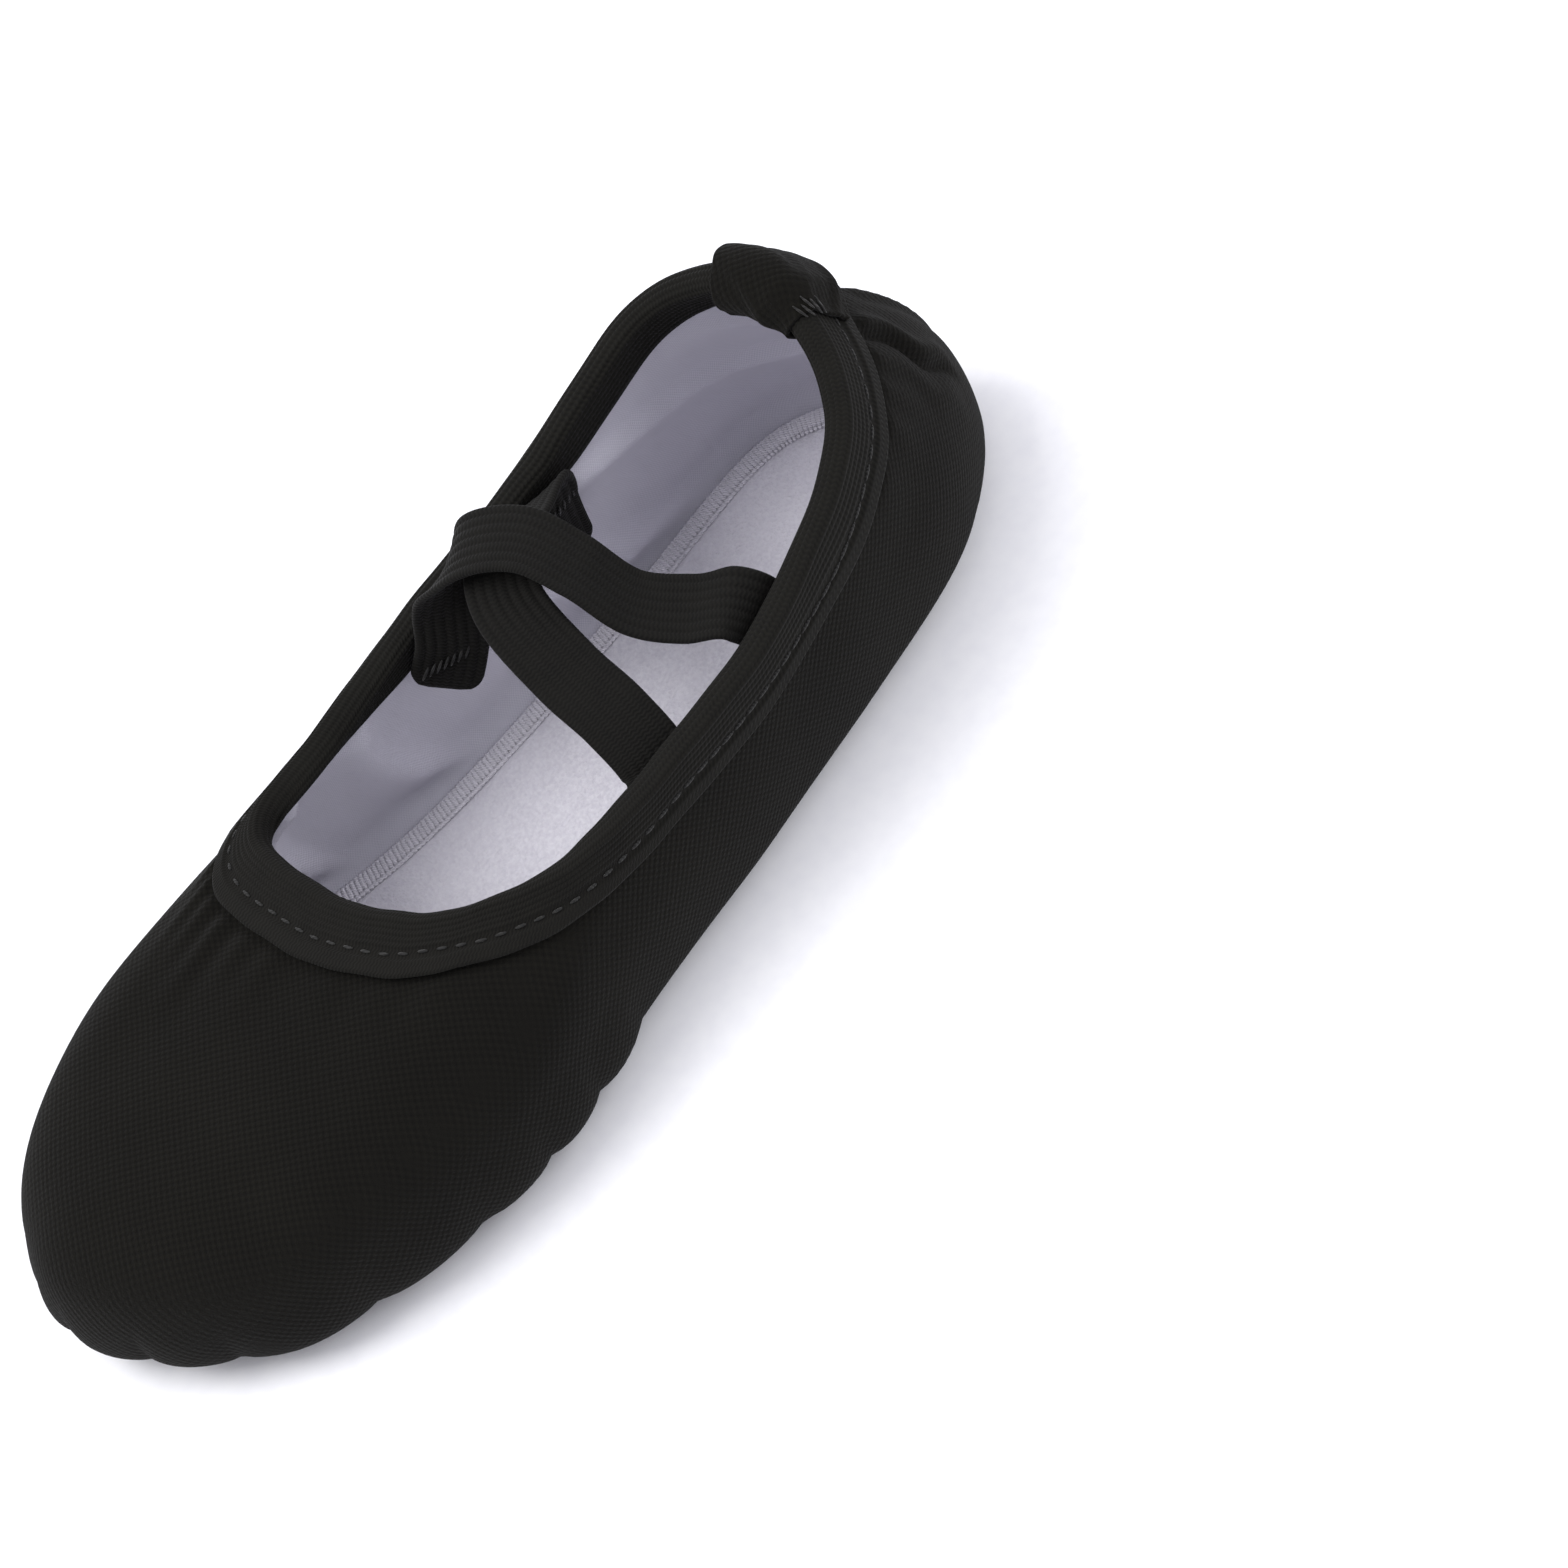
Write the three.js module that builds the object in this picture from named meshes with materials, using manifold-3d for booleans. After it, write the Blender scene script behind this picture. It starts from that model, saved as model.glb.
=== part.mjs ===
// A soft canvas ballet slipper for the left foot, with a split sole and two crossed elastic straps.
// Millimetres. +X points to the toe, +Y to the slipper's left (outer) side, +Z up.
// Local x runs from the back of the heel, z from the floor; the finished group is moved so that
// its origin is the centre of its footprint on the floor.

import * as THREE from 'three';
import { mergeVertices } from 'three/addons/utils/BufferGeometryUtils.js';
import Module from 'manifold-3d';

const wasm = await Module();
wasm.setup();

// ---- driving dimensions ----

const LENGTH = 225;               // back of the heel to the tip of the toe
const BALL_WIDTH = 79;            // widest place of the forefoot
const WAIST_WIDTH = 61;           // at the arch
const HEEL_WIDTH = 51;
const TOE_OFFSET = -4.7;          // the toe tip leans to the inner side
const WIDEST_HEIGHT = 10;         // height of the widest line above the floor
const EDGE_INSET = 11;            // from the widest line in to the flat underside

const VAMP_LENGTH = 78;           // toe tip to the throat of the opening
const HEEL_SET_IN = 22.5;         // the gathered opening stands this far in front of the back
const OPENING_WIDTH = 57;
const THROAT_HEIGHT = 41;
const SIDE_HEIGHT = 43;
const HEEL_HEIGHT = 61;

const GAP = 0.4;                  // between layers that lie on each other
const PATCH_THICKNESS = 1.2;      // suede sole patches
const CANVAS = 1.0;
const LINING = 0.7;
const PAD = 2.0;
const INSOLE = 1.2;
const INSOLE_INSET = 7.0;         // insole edge, inside the widest line
const PAD_INSET = 13.0;           // foam pads, inside the widest line
const FOREFOOT_PAD_LENGTH = 74;
const PAD_TO_TOE = 26;
const PAD_TO_BACK = 14;

const BINDING = 1.0;              // ribbed elastic folded over the top edge
const BINDING_OUTSIDE = 10.5;     // height of its outer flap
const BINDING_INSIDE = 7.5;       // height of its inner flap
const BINDING_LIFT = 0.6;         // room inside the fold, above the canvas edge
const TOPLINE_STITCH_DEPTH = 6.1; // stitch row below the top edge

const TAB = 1.0;                  // canvas casing at the heel
const TAB_LENGTH = 20;            // along the top edge
const TAB_OUTSIDE = 14;
const TAB_INSIDE = 8.5;

const STRAP_WIDTH = 12.7;
const STRAP_THICKNESS = 1.2;
const STRAP_SEWN_LENGTH = 12;     // end sewn down inside the slipper
const STRAP_EASE = 0.8;           // room for a strap to curve as it leaves the wall
const TACK_LENGTH = 9;

const FRONT_PATCH_LENGTH = 56;
const FRONT_PATCH_WIDTH = 54;
const FRONT_PATCH_TO_TOE = 31;    // bare pleated canvas in front of the patch
const FRONT_PATCH_OFFSET = 0.5;
const FRONT_PATCH_REAR = 0.42;    // bluntness of its rear end, from 0 (a point) to 1 (round)
const HEEL_PATCH_LENGTH = 35;
const HEEL_PATCH_WIDTH = 34;
const HEEL_PATCH_TO_BACK = 7.5;
const HEEL_PATCH_OFFSET = 1;
const HEEL_PATCH_REAR = 0.75;
const PATCH_ROW_OUTER = 2.0;      // stitch rows, inside the patch edge
const PATCH_ROW_INNER = 5.6;

const THREAD = 0.5;               // thread diameter
const THREAD_SIDES = 5;

const ARCH_BEND_X = 45;           // where the heel part bends from the forepart
const BEND_GAP = 0.5;

// ---- worked-out levels ----

const CANVAS_FLOOR = PATCH_THICKNESS + GAP;
const LINING_DEPTH = CANVAS + GAP;                       // outer face of the lining
const INNER_DEPTH = LINING_DEPTH + LINING;               // inner face of the lining
const PAD_FLOOR = CANVAS_FLOOR + INNER_DEPTH + GAP;
const INSOLE_FLOOR = PAD_FLOOR + PAD + GAP;
const FLAP_DEPTH = INNER_DEPTH + GAP + BINDING;          // inner face of the binding's inner flap

// ---- mesh helpers ----

const LOOP_STEPS = 60;            // around the slipper
const FAR = 1000;                 // larger than the slipper

function capTriangles(ring, start) {
  // Triangulates a closed ring that lies near one plane.
  const normal = new THREE.Vector3();
  ring.forEach((p, i) => {
    const q = ring[(i + 1) % ring.length];
    normal.x += (p.y - q.y) * (p.z + q.z);
    normal.y += (p.z - q.z) * (p.x + q.x);
    normal.z += (p.x - q.x) * (p.y + q.y);
  });
  normal.normalize();
  const turn = new THREE.Quaternion().setFromUnitVectors(normal, new THREE.Vector3(0, 0, 1));
  const flat = ring.map((p) => p.clone().applyQuaternion(turn));
  const contour = flat.map((p) => new THREE.Vector2(p.x, p.y));
  return THREE.ShapeUtils.triangulateShape(contour, []).map((t) => t.map((i) => i + start));
}

function skin(rings, closed = false) {
  // Joins rings of equal length into one closed body; an open row of rings gets two end caps.
  const count = rings[0].length;
  const positions = rings.flat().flatMap((p) => [p.x, p.y, p.z]);
  const index = [];
  const rows = closed ? rings.length : rings.length - 1;
  for (let row = 0; row < rows; row += 1) {
    const next = (row + 1) % rings.length;
    for (let i = 0; i < count; i += 1) {
      const j = (i + 1) % count;
      const [a, b] = [row * count + i, row * count + j];
      const [c, d] = [next * count + j, next * count + i];
      index.push(a, b, c, a, c, d);
    }
  }
  if (!closed) {
    capTriangles(rings[0], 0).forEach(([a, b, c]) => index.push(c, b, a));
    capTriangles(rings.at(-1), (rings.length - 1) * count).forEach((t) => index.push(...t));
  }
  const geometry = new THREE.BufferGeometry();
  geometry.setAttribute('position', new THREE.Float32BufferAttribute(positions, 3));
  geometry.setIndex(index);
  return facingOut(geometry);
}

function facingOut(geometry) {
  const position = geometry.attributes.position;
  const index = geometry.index.array;
  const corners = [new THREE.Vector3(), new THREE.Vector3(), new THREE.Vector3()];
  let volume = 0;
  for (let i = 0; i < index.length; i += 3) {
    corners.forEach((corner, k) => corner.fromBufferAttribute(position, index[i + k]));
    volume += corners[0].dot(corners[1].cross(corners[2]));
  }
  if (volume < 0) {
    geometry.setIndex(Array.from(index).reverse());
  }
  return geometry;
}

function toSolid(geometry) {
  const plain = new THREE.BufferGeometry();
  plain.setAttribute('position', geometry.attributes.position.clone());
  if (geometry.index) {
    plain.setIndex(Array.from(geometry.index.array));
  }
  const merged = mergeVertices(plain, 1e-4);
  return new wasm.Manifold(new wasm.Mesh({
    numProp: 3,
    vertProperties: new Float32Array(merged.attributes.position.array),
    triVerts: new Uint32Array(merged.index.array),
  }));
}

function toGeometry(solid) {
  const mesh = solid.getMesh();
  const geometry = new THREE.BufferGeometry();
  geometry.setAttribute('position', new THREE.BufferAttribute(mesh.vertProperties, 3));
  geometry.setIndex(new THREE.BufferAttribute(mesh.triVerts, 1));
  return geometry;
}

function cutAtArch(geometry) {
  // Cuts a piece in two at the line where the sole bends, with the bend gap between the halves.
  const block = new THREE.BoxGeometry(FAR, FAR, FAR);
  const ahead = ARCH_BEND_X + BEND_GAP / 2 + FAR / 2;
  const behind = ARCH_BEND_X - BEND_GAP / 2 - FAR / 2;
  const whole = toSolid(geometry);
  return {
    front: toGeometry(whole.intersect(toSolid(block.clone().translate(ahead, 0, 0)))),
    heel: toGeometry(whole.intersect(toSolid(block.clone().translate(behind, 0, 0)))),
  };
}

// ---- the shape of the foot ----

// Twelve stations around the slipper, from the toe tip over the outer side to the heel and back
// along the inner side. Sole edge: x as a share of the length, y as a share of a width.
const SOLE_STATIONS = [
  [1.000, TOE_OFFSET],
  [0.906, 0.335 * BALL_WIDTH],
  [0.712, 0.507 * BALL_WIDTH],
  [0.528, 0.610 * WAIST_WIDTH],
  [0.318, 0.555 * WAIST_WIDTH],
  [0.104, 0.520 * HEEL_WIDTH],
  [0.000, 0.025 * HEEL_WIDTH],
  [0.104, -0.485 * HEEL_WIDTH],
  [0.318, -0.440 * WAIST_WIDTH],
  [0.532, -0.482 * WAIST_WIDTH],
  [0.749, -0.490 * BALL_WIDTH],
  [0.939, -0.375 * BALL_WIDTH],
];

// Top edge of the opening: x as a share of the opening's length from its heel end, y as a share
// of its width, and z between the heights at the throat, the sides and the heel.
const TOPLINE_STATIONS = [
  [1.000, -0.045, THROAT_HEIGHT],
  [0.935, 0.280, THROAT_HEIGHT],
  [0.794, 0.490, THROAT_HEIGHT],
  [0.606, 0.545, THREE.MathUtils.lerp(THROAT_HEIGHT, SIDE_HEIGHT, 0.4)],
  [0.341, 0.533, THREE.MathUtils.lerp(SIDE_HEIGHT, HEEL_HEIGHT, 0.06)],
  [0.086, 0.355, THREE.MathUtils.lerp(SIDE_HEIGHT, HEEL_HEIGHT, 0.50)],
  [0.000, -0.050, HEEL_HEIGHT],
  [0.100, -0.420, THREE.MathUtils.lerp(SIDE_HEIGHT, HEEL_HEIGHT, 0.64)],
  [0.380, -0.452, THREE.MathUtils.lerp(SIDE_HEIGHT, HEEL_HEIGHT, 0.20)],
  [0.630, -0.470, SIDE_HEIGHT],
  [0.819, -0.458, THROAT_HEIGHT],
  [0.985, -0.405, THROAT_HEIGHT],
];

function closedCurve(points) {
  return new THREE.CatmullRomCurve3(points, true, 'catmullrom', 0.5);
}

const OPENING_LENGTH = LENGTH - VAMP_LENGTH - HEEL_SET_IN;
const soleEdge = closedCurve(SOLE_STATIONS.map(
  ([x, y]) => new THREE.Vector3(x * LENGTH, y, WIDEST_HEIGHT)));
const topline = closedCurve(TOPLINE_STATIONS.map(
  ([x, y, z]) => new THREE.Vector3(HEEL_SET_IN + x * OPENING_LENGTH, y * OPENING_WIDTH, z)));

function soleNormal(u) {
  const along = soleEdge.getTangent(u);
  return new THREE.Vector3(along.y, -along.x, 0).normalize();
}

// How full the wall is between the sole edge and the top edge.
const WALL_RISE = 0.38;           // handle at the sole edge, as a share of the straight distance
const WALL_LEAN = 0.035;          // how far that handle leans outwards
const TOP_HANDLE = 0.33;
const VAMP_SLOPE = 0.36;          // climb of the vamp where it meets the throat
const STEEP_REACH = 8;            // walls reaching in less than this stand upright at the top
const FLAT_REACH = 58;            // walls reaching in more than this arrive flat, as the vamp does

const meridians = new Map();

function meridian(u) {
  // The outer face from the flat underside, round the sole edge and up to the top edge.
  const key = Math.round(THREE.MathUtils.euclideanModulo(u, 1) * 1e6) % 1e6;
  if (meridians.has(key)) {
    return meridians.get(key);
  }
  const around = key / 1e6;
  const edge = soleEdge.getPoint(around);
  const top = topline.getPoint(around);
  const out = soleNormal(around);
  const up = new THREE.Vector3(0, 0, 1);
  const inward = top.clone().sub(edge);
  const distance = inward.length();
  const level = inward.clone().setZ(0);
  const flat = THREE.MathUtils.clamp((level.length() - STEEP_REACH) / (FLAT_REACH - STEEP_REACH), 0, 1);
  level.normalize();
  const arrive = level.multiplyScalar(THREE.MathUtils.lerp(0.25, 1, flat));
  arrive.addScaledVector(up, THREE.MathUtils.lerp(0.95, VAMP_SLOPE, flat)).normalize();
  const leave = up.clone().multiplyScalar(WALL_RISE).addScaledVector(out, WALL_LEAN);
  const under = edge.clone().addScaledVector(out, -EDGE_INSET).setZ(CANVAS_FLOOR);
  const path = new THREE.CurvePath();
  path.add(new THREE.CubicBezierCurve3(
    under,
    under.clone().addScaledVector(out, EDGE_INSET * 0.55),
    edge.clone().addScaledVector(leave.clone().normalize(), -(edge.z - CANVAS_FLOOR) * 0.6),
    edge,
  ));
  path.add(new THREE.CubicBezierCurve3(
    edge,
    edge.clone().addScaledVector(leave, distance),
    top.clone().addScaledVector(arrive, -distance * TOP_HANDLE),
    top,
  ));
  const entry = { path, length: path.getLength(), arrive };
  meridians.set(key, entry);
  return entry;
}

function facePoint(u, t) {
  const { path, length, arrive } = meridian(u);
  return t <= 1 ? path.getPoint(t) : path.getPoint(1).addScaledVector(arrive, (t - 1) * length);
}

function faceNormal(u, t) {
  if (t < 1e-6) {
    return new THREE.Vector3(0, 0, -1);
  }
  const [du, dt] = [1 / 720, 0.004];
  const at = Math.min(t, 1);
  const around = facePoint(u + du, at).sub(facePoint(u - du, at));
  const upwards = facePoint(u, at).sub(facePoint(u, Math.max(at - dt, 0)));
  return around.cross(upwards).normalize();
}

function layerPoint(u, t, depth) {
  // A point at a share t of the way from the underside to the top edge, this deep in the wall.
  return facePoint(u, t).addScaledVector(faceNormal(u, t), -depth);
}

function wallPoint(u, below, depth) {
  // The same, but a distance below the top edge.
  return layerPoint(u, 1 - below / meridian(u).length, depth);
}

function loopOf(steps, pointAt) {
  return Array.from({ length: steps }, (_, i) => pointAt(i / steps));
}

// ---- canvas, lining and binding ----

const EDGE_ROWS = [0, 3.5, 7, 10.5, 14, 18];      // up from the flat underside, round the sole edge
const MIDDLE_ROWS = [0.25, 0.5, 0.75];            // shares of the bare wall above them
const UPPER_ROWS = [BINDING_OUTSIDE, BINDING_INSIDE, 0];      // below the top edge

function shell(outerDepth, thickness) {
  // One layer of the upper: an outer and an inner face, closed underneath and open at the top.
  const loop = (depth, belowAt) => loopOf(LOOP_STEPS, (u) => {
    const { length } = meridian(u);
    return wallPoint(u, belowAt(length), depth);
  });
  const face = (depth) => [
    ...EDGE_ROWS.map((above) => loop(depth, (length) => length - above)),
    ...MIDDLE_ROWS.map((share) => loop(depth, (length) => (
      THREE.MathUtils.lerp(length - EDGE_ROWS.at(-1), BINDING_OUTSIDE, share)))),
    ...UPPER_ROWS.map((below) => loop(depth, () => below)),
  ];
  return skin([...face(outerDepth), ...face(outerDepth + thickness).reverse()]);
}

function foldedSection(outside, inside, depthOut, depthIn, thickness, lift) {
  // Corners of a strip folded over the top edge: [distance below the edge, depth in the wall].
  // The fold's inner side stands the lift above the edge.
  const [faceOut, faceIn] = [depthOut - thickness, depthIn + thickness];
  const middle = (faceOut + faceIn) / 2;
  const shoulder = thickness * 0.35;
  return [
    [outside, depthOut], [outside, faceOut], [outside / 2, faceOut], [0, faceOut],
    [-lift * 0.9, faceOut + shoulder], [-lift - thickness, middle],
    [-lift * 0.9, faceIn - shoulder], [0, faceIn],
    [inside, faceIn], [inside, depthIn], [0, depthIn], [-lift, middle],
    [0, depthOut], [outside / 2, depthOut],
  ];
}

function binding() {
  const section = foldedSection(
    BINDING_OUTSIDE, BINDING_INSIDE, -GAP, INNER_DEPTH + GAP, BINDING, BINDING_LIFT);
  const rings = loopOf(LOOP_STEPS, (u) => section.map(([below, depth]) => wallPoint(u, below, depth)));
  return skin(rings, true);
}

const HEEL_U = 0.5;               // station of the heel centre
const TAB_STEPS = 8;
const TAB_OVER = GAP + BINDING + GAP + THREAD + GAP;    // over the binding and its stitch row

function heelTab() {
  const reach = TAB_LENGTH / 2 / topline.getLength();
  const section = foldedSection(
    TAB_OUTSIDE, TAB_INSIDE, -TAB_OVER, INNER_DEPTH + TAB_OVER, TAB, BINDING_LIFT + BINDING + GAP);
  const rings = [];
  for (let i = 0; i <= TAB_STEPS; i += 1) {
    const u = HEEL_U + THREE.MathUtils.lerp(-reach, reach, i / TAB_STEPS);
    rings.push(section.map(([below, depth]) => wallPoint(u, below, depth)));
  }
  return skin(rings);
}

// ---- inside the sole ----

function soleOutline(inset) {
  return loopOf(LOOP_STEPS, (u) => soleEdge.getPoint(u).addScaledVector(soleNormal(u), -inset));
}

function plate(outline, bottom, thickness) {
  const at = (z) => outline.map((p) => new THREE.Vector3(p.x, p.y, z));
  return skin([at(bottom), at(bottom + thickness)]);
}

function pad(shape) {
  return plate(insetLoop(shape, 0, PATCH_STEPS), PAD_FLOOR, PAD);
}

// ---- sole patches ----

function patchOutline(length, width, front, offset, rearPoint) {
  // An egg: a round front and a rear end that narrows to a blunt point.
  const [half, rear] = [width / 2, front - length];
  const widest = front - length * 0.42;
  const [ahead, behind] = [widest + length * 0.2, widest - length * 0.3];
  const shape = new THREE.Shape();
  shape.moveTo(front, offset);
  shape.bezierCurveTo(front, offset + half * 0.6, ahead, offset + half, widest, offset + half);
  shape.bezierCurveTo(behind, offset + half, rear + 1, offset + half * rearPoint, rear, offset);
  shape.bezierCurveTo(rear + 1, offset - half * rearPoint, behind, offset - half, widest, offset - half);
  shape.bezierCurveTo(ahead, offset - half, front, offset - half * 0.6, front, offset);
  return shape;
}

function insetLoop(shape, inset, steps) {
  // Points around a shape, moved inwards; they run with the material on their left.
  const points = shape.getSpacedPoints(steps).slice(0, steps);
  const side = THREE.ShapeUtils.isClockWise(points) ? -1 : 1;
  return points.map((p, i) => {
    const along = points[(i + 1) % steps].clone().sub(points[(i - 1 + steps) % steps]).normalize();
    return new THREE.Vector2(p.x - side * along.y * inset, p.y + side * along.x * inset);
  });
}

const PATCH_STEPS = 44;
const THREAD_ROOM = THREAD / 2 + GAP;
const THREAD_LIFT = 0.02;         // lowest point of a sole thread above the floor

function rowGroove(loop) {
  // A channel in the patch's lower face that holds a row of stitching.
  const corners = [[-1, -1], [1, -1], [1, 1], [-1, 1]];
  const roof = THREAD_LIFT + THREAD + GAP;
  return skin(loop.map((p, i) => {
    const ahead = loop[(i + 1) % loop.length].clone().sub(loop.at(i - 1)).normalize();
    return corners.map(([side, top]) => new THREE.Vector3(
      p.x - ahead.y * side * THREAD_ROOM, p.y + ahead.x * side * THREAD_ROOM, top > 0 ? roof : -1));
  }), true);
}

function solePatch(shape) {
  const outline = insetLoop(shape, 0, PATCH_STEPS);
  let solid = toSolid(plate(outline, 0, PATCH_THICKNESS));
  [PATCH_ROW_OUTER, PATCH_ROW_INNER].forEach((inset) => {
    solid = solid.subtract(toSolid(rowGroove(insetLoop(shape, inset, PATCH_STEPS))));
  });
  return toGeometry(solid);
}

function thread(points, closed = false) {
  // A round thread along a row of points.
  const last = points.length - 1;
  const up = new THREE.Vector3(0, 0, 1);
  const rings = points.map((p, i) => {
    const before = points[closed ? (i + last) % points.length : Math.max(i - 1, 0)];
    const after = points[closed ? (i + 1) % points.length : Math.min(i + 1, last)];
    const along = after.clone().sub(before).normalize();
    const helper = Math.abs(along.dot(up)) > 0.9 ? new THREE.Vector3(1, 0, 0) : up;
    const side = along.clone().cross(helper).normalize();
    const lift = side.clone().cross(along);
    return loopOf(THREAD_SIDES, (share) => {
      const angle = share * 2 * Math.PI + Math.PI / 2;
      return p.clone().addScaledVector(side, Math.cos(angle) * THREAD / 2)
        .addScaledVector(lift, Math.sin(angle) * THREAD / 2);
    });
  });
  return skin(rings, closed);
}

function patchRow(shape, inset) {
  const height = THREAD_LIFT + THREAD / 2;
  const loop = insetLoop(shape, inset, PATCH_STEPS);
  return thread(loop.map((p) => new THREE.Vector3(p.x, p.y, height)), true);
}

// ---- straps ----

// Each strap is sewn inside the slipper at two stations of the top edge, and between them it
// stands up as an arc: [share of the way across, forward of the straight line, above it].
const STRAPS = {
  strap_over: {
    left: 0.3335,
    right: 0.741,
    arc: [[0.07, 1.5, 1.6], [0.2, 2.0, 1.8], [0.35, 2.0, 5.0], [0.5, -1.6, 12.4],
      [0.65, -4.6, 16.8], [0.84, -4.6, 15.5], [0.94, -3.0, 8.5]],
  },
  strap_under: {
    left: 0.257,
    right: 0.669,
    arc: [[0.12, 3.9, 1.8], [0.3, 8.2, 5.4], [0.55, 12, 10.4], [0.72, 10.5, 11.6], [0.86, 5, 8]],
  },
};
const STRAP_STEPS = 40;
const SEWN_POINTS = 3;

function sewnEdges(u, below) {
  // The two long edges of a strap's middle plane where it is sewn to the wall, the toe side last.
  const depth = FLAP_DEPTH + GAP + STRAP_EASE + STRAP_THICKNESS / 2;
  const step = 0.001;
  const speed = topline.getPoint(u + step).distanceTo(topline.getPoint(u - step)) / (2 * step);
  const half = STRAP_WIDTH / 2 / speed;
  const edges = [wallPoint(u - half, below, depth), wallPoint(u + half, below, depth)];
  return edges.sort((p, q) => p.x - q.x);
}

function strapEnd(u, below) {
  const [rear, front] = sewnEdges(u, below);
  return rear.add(front).multiplyScalar(0.5);
}

function wallAlong(u) {
  const [rear, front] = sewnEdges(u, 0);
  return front.sub(rear).normalize();
}

function strapPath({ left, right, arc }) {
  const [from, to] = [strapEnd(left, 0), strapEnd(right, 0)];
  const across = to.clone().sub(from);
  const forward = new THREE.Vector3(-across.y, across.x, 0).normalize();
  const free = arc.map(([share, ahead, rise]) => from.clone().addScaledVector(across, share)
    .addScaledVector(forward, ahead).add(new THREE.Vector3(0, 0, rise)));
  const sewn = (u) => loopOf(SEWN_POINTS, (share) => strapEnd(u, (1 - share) * STRAP_SEWN_LENGTH));
  const points = [...sewn(left), ...free, ...sewn(right).reverse()];
  return new THREE.CatmullRomCurve3(points, false, 'centripetal');
}

function strapWidthAt(strap, share) {
  // Along the top edge where the strap is sewn, and square across the strap in between.
  const [from, to] = [strapEnd(strap.left, 0), strapEnd(strap.right, 0)];
  const across = to.sub(from);
  const square = new THREE.Vector3(-across.y, across.x, 0).normalize();
  const end = wallAlong(share < 0.5 ? strap.left : strap.right);
  const free = THREE.MathUtils.smoothstep(Math.min(share, 1 - share), 0.12, 0.35);
  return end.lerp(square, free);
}

function strap(spec) {
  const path = strapPath(spec);
  const rings = [];
  for (let i = 0; i <= STRAP_STEPS; i += 1) {
    const share = i / STRAP_STEPS;
    const centre = path.getPointAt(share);
    const along = path.getTangentAt(share);
    const wide = strapWidthAt(spec, share);
    wide.addScaledVector(along, -wide.dot(along)).normalize();
    const thick = along.clone().cross(wide);
    const corner = (w, t) => centre.clone().addScaledVector(wide, w * STRAP_WIDTH / 2)
      .addScaledVector(thick, t * STRAP_THICKNESS / 2);
    rings.push([corner(-1, -1), corner(1, -1), corner(1, 1), corner(-1, 1)]);
  }
  return skin(rings);
}

function barTack(u) {
  // A short thread across the sewn end of a strap, on its inner face.
  const [rear, front] = sewnEdges(u, STRAP_SEWN_LENGTH * 0.6);
  const along = front.clone().sub(rear).normalize();
  const inwards = faceNormal(u, 1).negate();
  const off = STRAP_THICKNESS / 2 + 2 * GAP + THREAD / 2;
  const centre = rear.add(front).multiplyScalar(0.5).addScaledVector(inwards, off);
  const steps = 4;
  const points = [];
  for (let i = 0; i <= steps; i += 1) {
    points.push(centre.clone().addScaledVector(along, (i / steps - 0.5) * TACK_LENGTH));
  }
  return thread(points);
}

// ---- stitching ----

const SEAM_STEPS = 14;

function toplineStitch() {
  const depth = -(GAP + BINDING + GAP + THREAD / 2);
  return thread(loopOf(LOOP_STEPS, (u) => wallPoint(u, TOPLINE_STITCH_DEPTH, depth)), true);
}

const INSOLE_STITCH_INSET = 2.4;  // overlock along the insole's edge

function insoleStitch() {
  const height = INSOLE_FLOOR + INSOLE + GAP + THREAD / 2;
  const outline = soleOutline(INSOLE_INSET + INSOLE_STITCH_INSET);
  return thread(outline.map((p) => p.setZ(height)), true);
}

function heelSeam() {
  const points = [];
  const depth = -(GAP + THREAD / 2);
  const length = meridian(HEEL_U).length;
  const [start, end] = [TAB_OUTSIDE + 2, length - EDGE_INSET * 1.1];
  for (let i = 0; i <= SEAM_STEPS; i += 1) {
    points.push(wallPoint(HEEL_U, THREE.MathUtils.lerp(start, end, i / SEAM_STEPS), depth));
  }
  return thread(points);
}

const SEAM_TO_PATCH = 2;

function archSeam() {
  const height = CANVAS_FLOOR - GAP - THREAD / 2;
  const from = ARCH_BEND_X + SEAM_TO_PATCH;
  const to = LENGTH - FRONT_PATCH_TO_TOE - FRONT_PATCH_LENGTH - SEAM_TO_PATCH;
  const points = [];
  for (let i = 0; i <= SEAM_STEPS; i += 1) {
    const share = i / SEAM_STEPS;
    const y = THREE.MathUtils.lerp(HEEL_PATCH_OFFSET, FRONT_PATCH_OFFSET, share);
    points.push(new THREE.Vector3(THREE.MathUtils.lerp(from, to, share), y, height));
  }
  return thread(points);
}

function tabStitch() {
  const reach = TAB_LENGTH / 2 / topline.getLength() * 0.85;
  const depth = -(TAB_OVER + TAB + GAP + THREAD / 2);
  const points = [];
  for (let i = 0; i <= TAB_STEPS; i += 1) {
    const u = HEEL_U + THREE.MathUtils.lerp(-reach, reach, i / TAB_STEPS);
    points.push(wallPoint(u, TAB_OUTSIDE - 2, depth));
  }
  return thread(points);
}

// ---- assembly ----

const MATERIALS = {
  canvas: { color: 0x222220, roughness: 0.95 },
  lining: { color: 0xc9c5d0, roughness: 0.95 },
  elastic: { color: 0x24231f, roughness: 0.8 },
  foam: { color: 0xe4e0d8, roughness: 1 },
  insole: { color: 0xcdcad4, roughness: 0.9 },
  suede: { color: 0x1f1f1d, roughness: 1 },
  thread: { color: 0x1a1a19, roughness: 0.7 },
  lightThread: { color: 0xd8d6de, roughness: 0.7 },
};

const slipper = new THREE.Group();

function place(name, geometry, finish) {
  const material = new THREE.MeshStandardMaterial({ ...MATERIALS[finish], metalness: 0 });
  const mesh = new THREE.Mesh(geometry, material);
  mesh.name = name;
  slipper.add(mesh);
}

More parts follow.
